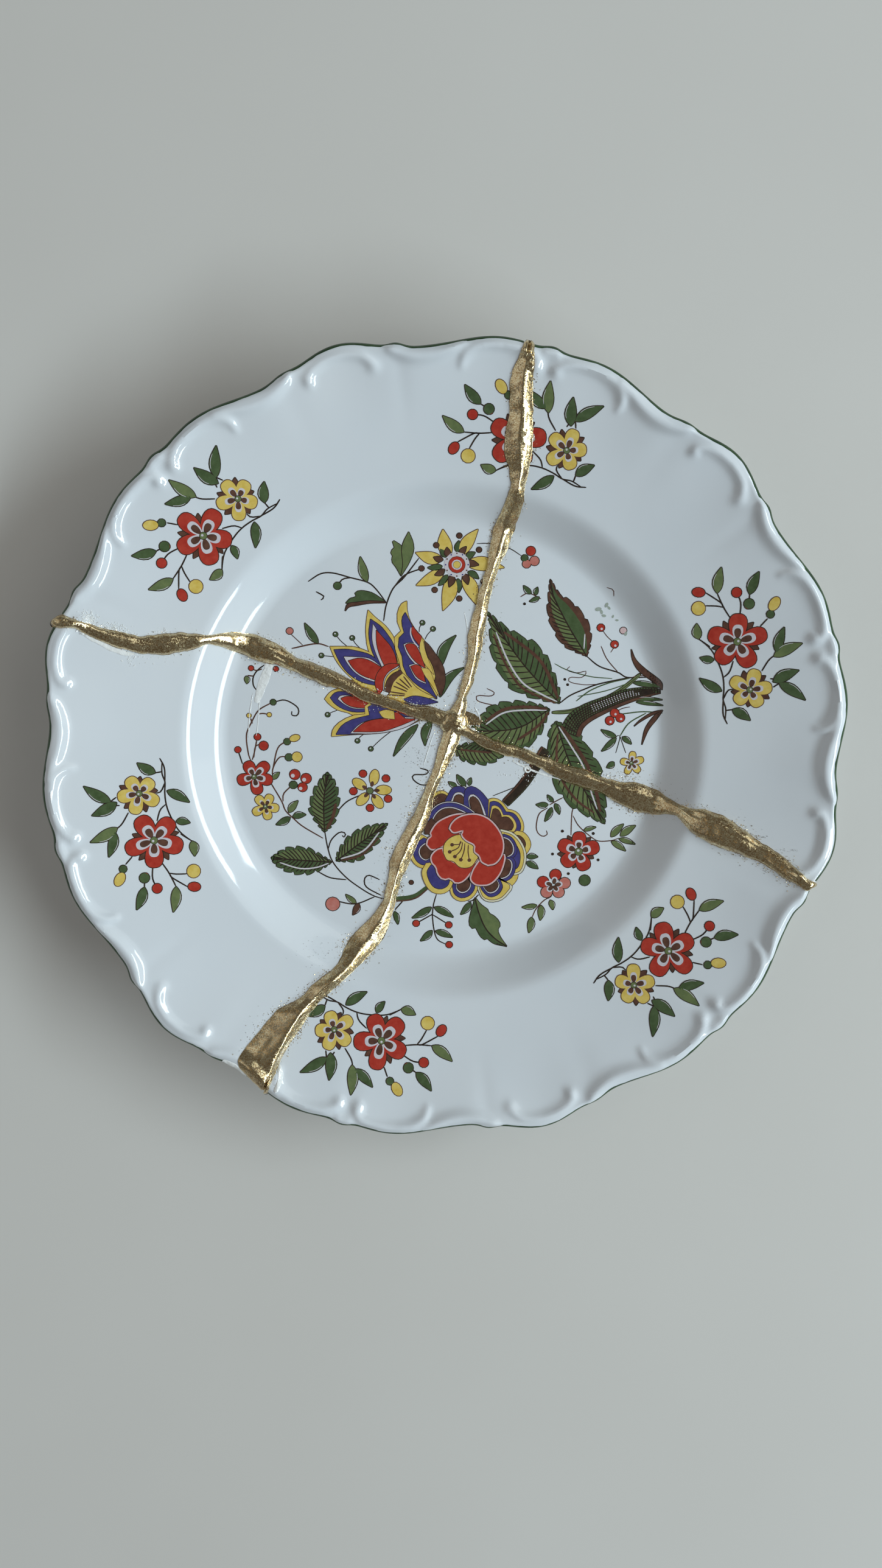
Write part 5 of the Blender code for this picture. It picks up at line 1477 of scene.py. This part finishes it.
def clusters(spots, seed):
    """Places scattered round spots given as (x, y, how many, spread along x, spread along y)."""
    random = np.random.default_rng(seed)
    return np.vstack([random.normal((x, y), (wide, high), (many, 2))
                      for x, y, many, wide, high in spots])


def run_of_glue(points, width, high, seed):
    """A bead along the points: half round across, its width and height wavering, narrow ends."""
    length = length_of(points)
    spine = walked(points, max(10, int(length / 0.25)), 0.5)
    along = np.linspace(0.0, length, len(spine))[:, None]
    side = left_of(spine)
    across = np.sin(np.linspace(-math.pi / 2, math.pi / 2, 11))[None, :]
    taper = np.sqrt(np.sin(np.linspace(0.06, math.pi - 0.06, len(spine))))[:, None]
    half = width / 2 * taper * (1.0 + 0.3 * lumps(along / 1.1, across * 0.6, seed))
    x, y = (spine[:, i:i + 1] + side[:, i:i + 1] * across * half for i in (0, 1))
    waver = 1.0 + 0.5 * lumps(along / 0.7, across * half / 0.5, seed + 1)
    lift = high * np.sqrt(1.0 - across ** 2) * waver + 0.04
    top, base = on_skin(x, y, lift), on_skin(x, y, np.full(x.shape, -0.05))
    return loft(np.concatenate([top, base[:, ::-1]], axis=1))


clear, shader = new_material("clear_set_epoxy")
# Set epoxy over white glaze: wet-looking, crinkled every millimetre or so, which breaks the
# window's mirror image into white glints. Its colour is whiter than the glaze under it, and whitest
# on the crinkle's rises: partly the epoxy's own milky white, partly painted highlight that stands
# in for the window's reflection in it.
crinkle_and_painted_glint = noise(clear, 900.0)
# The base colour below carries painted highlight: whiter than the glaze, whitest on the rises.
set_shader(clear, shader, Base_Color=tinted(clear, crinkle_and_painted_glint, "#eeefe9", "#ffffff"), Roughness=0.08,
           IOR=1.55, Normal=bumped(clear, crinkle_and_painted_glint, 0.0005, 0.5))

grime, shader = new_material("grey_grinding_dust")
# Grey dust of ground edges and powder, dry and dull, in pin-point specks.
dull = tinted(grime, noise(grime, 300.0), "#5d574d", "#8f8a80")
set_shader(grime, shader, Base_Color=dull, Roughness=0.8)

# Drifts along an arm's lower (1) or upper (2) edge, then clusters, then the size of a flake.
STREWN = (
    ("gold_dust", gold, 0.24,
     (("left", 1, 150, 0.5), ("left", 2, 150, 0.6), ("top", 1, 260, 0.35), ("top", 2, 220, 0.35),
      ("right", 1, 320, 0.5), ("right", 2, 320, 0.5), ("bottom", 1, 620, 0.9),
      ("bottom", 2, 520, 0.6)),
     ((2.4, 4.8, 260, 4.0, 3.6), (6.4, 4.6, 420, 1.7, 1.1), (45.0, -9.0, 90, 2.2, 1.2))),
    ("clear_crumbs", clear, 0.3,
     (("left", 2, 420, 0.35), ("left", 1, 120, 0.6)),
     ((-84.2, 31.2, 260, 0.9, 0.8), (-79.5, 29.0, 110, 2.2, 0.4), (-75.0, 21.4, 40, 0.8, 0.8),
      (6.5, 2.5, 240, 1.0, 0.6), (22.0, -8.6, 60, 4.0, 1.2))),
    ("grey_specks", grime, 0.14,
     (("bottom", 1, 160, 1.6), ("right", 2, 90, 1.6)),
     ((-6.0, -4.0, 60, 1.8, 1.4), (-32.0, -52.0, 40, 3.0, 1.6), (77.0, -22.0, 14, 1.2, 0.2),
      (84.0, -25.0, 14, 1.0, 0.2), (78.0, -30.0, 8, 0.8, 0.3), (29.0, 90.0, 8, 0.8, 0.3),
      (14.0, 24.0, 20, 6.0, 5.0))),
)
seed = 201   # one more for each drift, cluster and kind of flake
for name, material, largest, drifts, spots in STREWN:
    places = [strewn(*drift, seed + k) for k, drift in enumerate(drifts)]
    seed += len(drifts) + 2
    places.append(clusters(spots, seed - 2))
    flecks(name, np.vstack(places), largest, material, seed - 1)

RUNS = (   # middle line, width and height of each run of glue
    ((-86.4, 28, -83.8, 26.4, -80.4, 24.3, -77, 22.8, -74, 22.3), 1.2, 0.14),
    ((-42.6, 20.4, -43.6, 16.4, -45, 12.8, -46.2, 9.6), 2.3, 0.08),
    ((-45.2, 12, -45.7, 6, -46.3, 1.4), 0.22, 0.05),
    ((-47, 12, -48, 5.6, -48.2, 1), 0.22, 0.05),
    ((5.2, 3.4, 6.4, 2.8, 7.8, 3.2), 0.8, 0.2),
    ((7.6, 8.6, 8.6, 6.8, 9, 5.2), 0.3, 0.1),
    ((-54.4, -77, -51.6, -78.6, -48.6, -81), 1.6, 0.2),
    ((-40.6, -78.6, -40.2, -81.6, -41.4, -85), 1.3, 0.16),
    ((17, -4.9, 21, -6.8, 25, -8.3, 29.6, -9.6), 0.5, 0.12),
    ((5, 32, 5.5, 29.6, 5.8, 27), 0.2, 0.04),
    ((-2.5, 2, -3.8, -2, -5, -6), 0.2, 0.05),
    ([(20.8 + 0.7 * math.cos(a / 5), -6.9 + 0.7 * math.sin(a / 5)) for a in range(33)], 0.5, 0.25),
)
SMEARS = (((2.6, 6.6, 4.6, 6.4, 7.2, 5.4, 9.4, 4.6), 2.8, 0.05),)
for name, runs, material in (("clear_glue", RUNS, clear), ("gold_smears", SMEARS, gold)):
    solids = [run_of_glue(*run, 230 + 3 * k) for k, run in enumerate(runs)]
    beads = make_object(name, *together(solids), material)
    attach(beads, "root")


size = {"cad": [list(corner) for corner in cad_box],
        "visual": [list(corner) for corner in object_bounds()]}
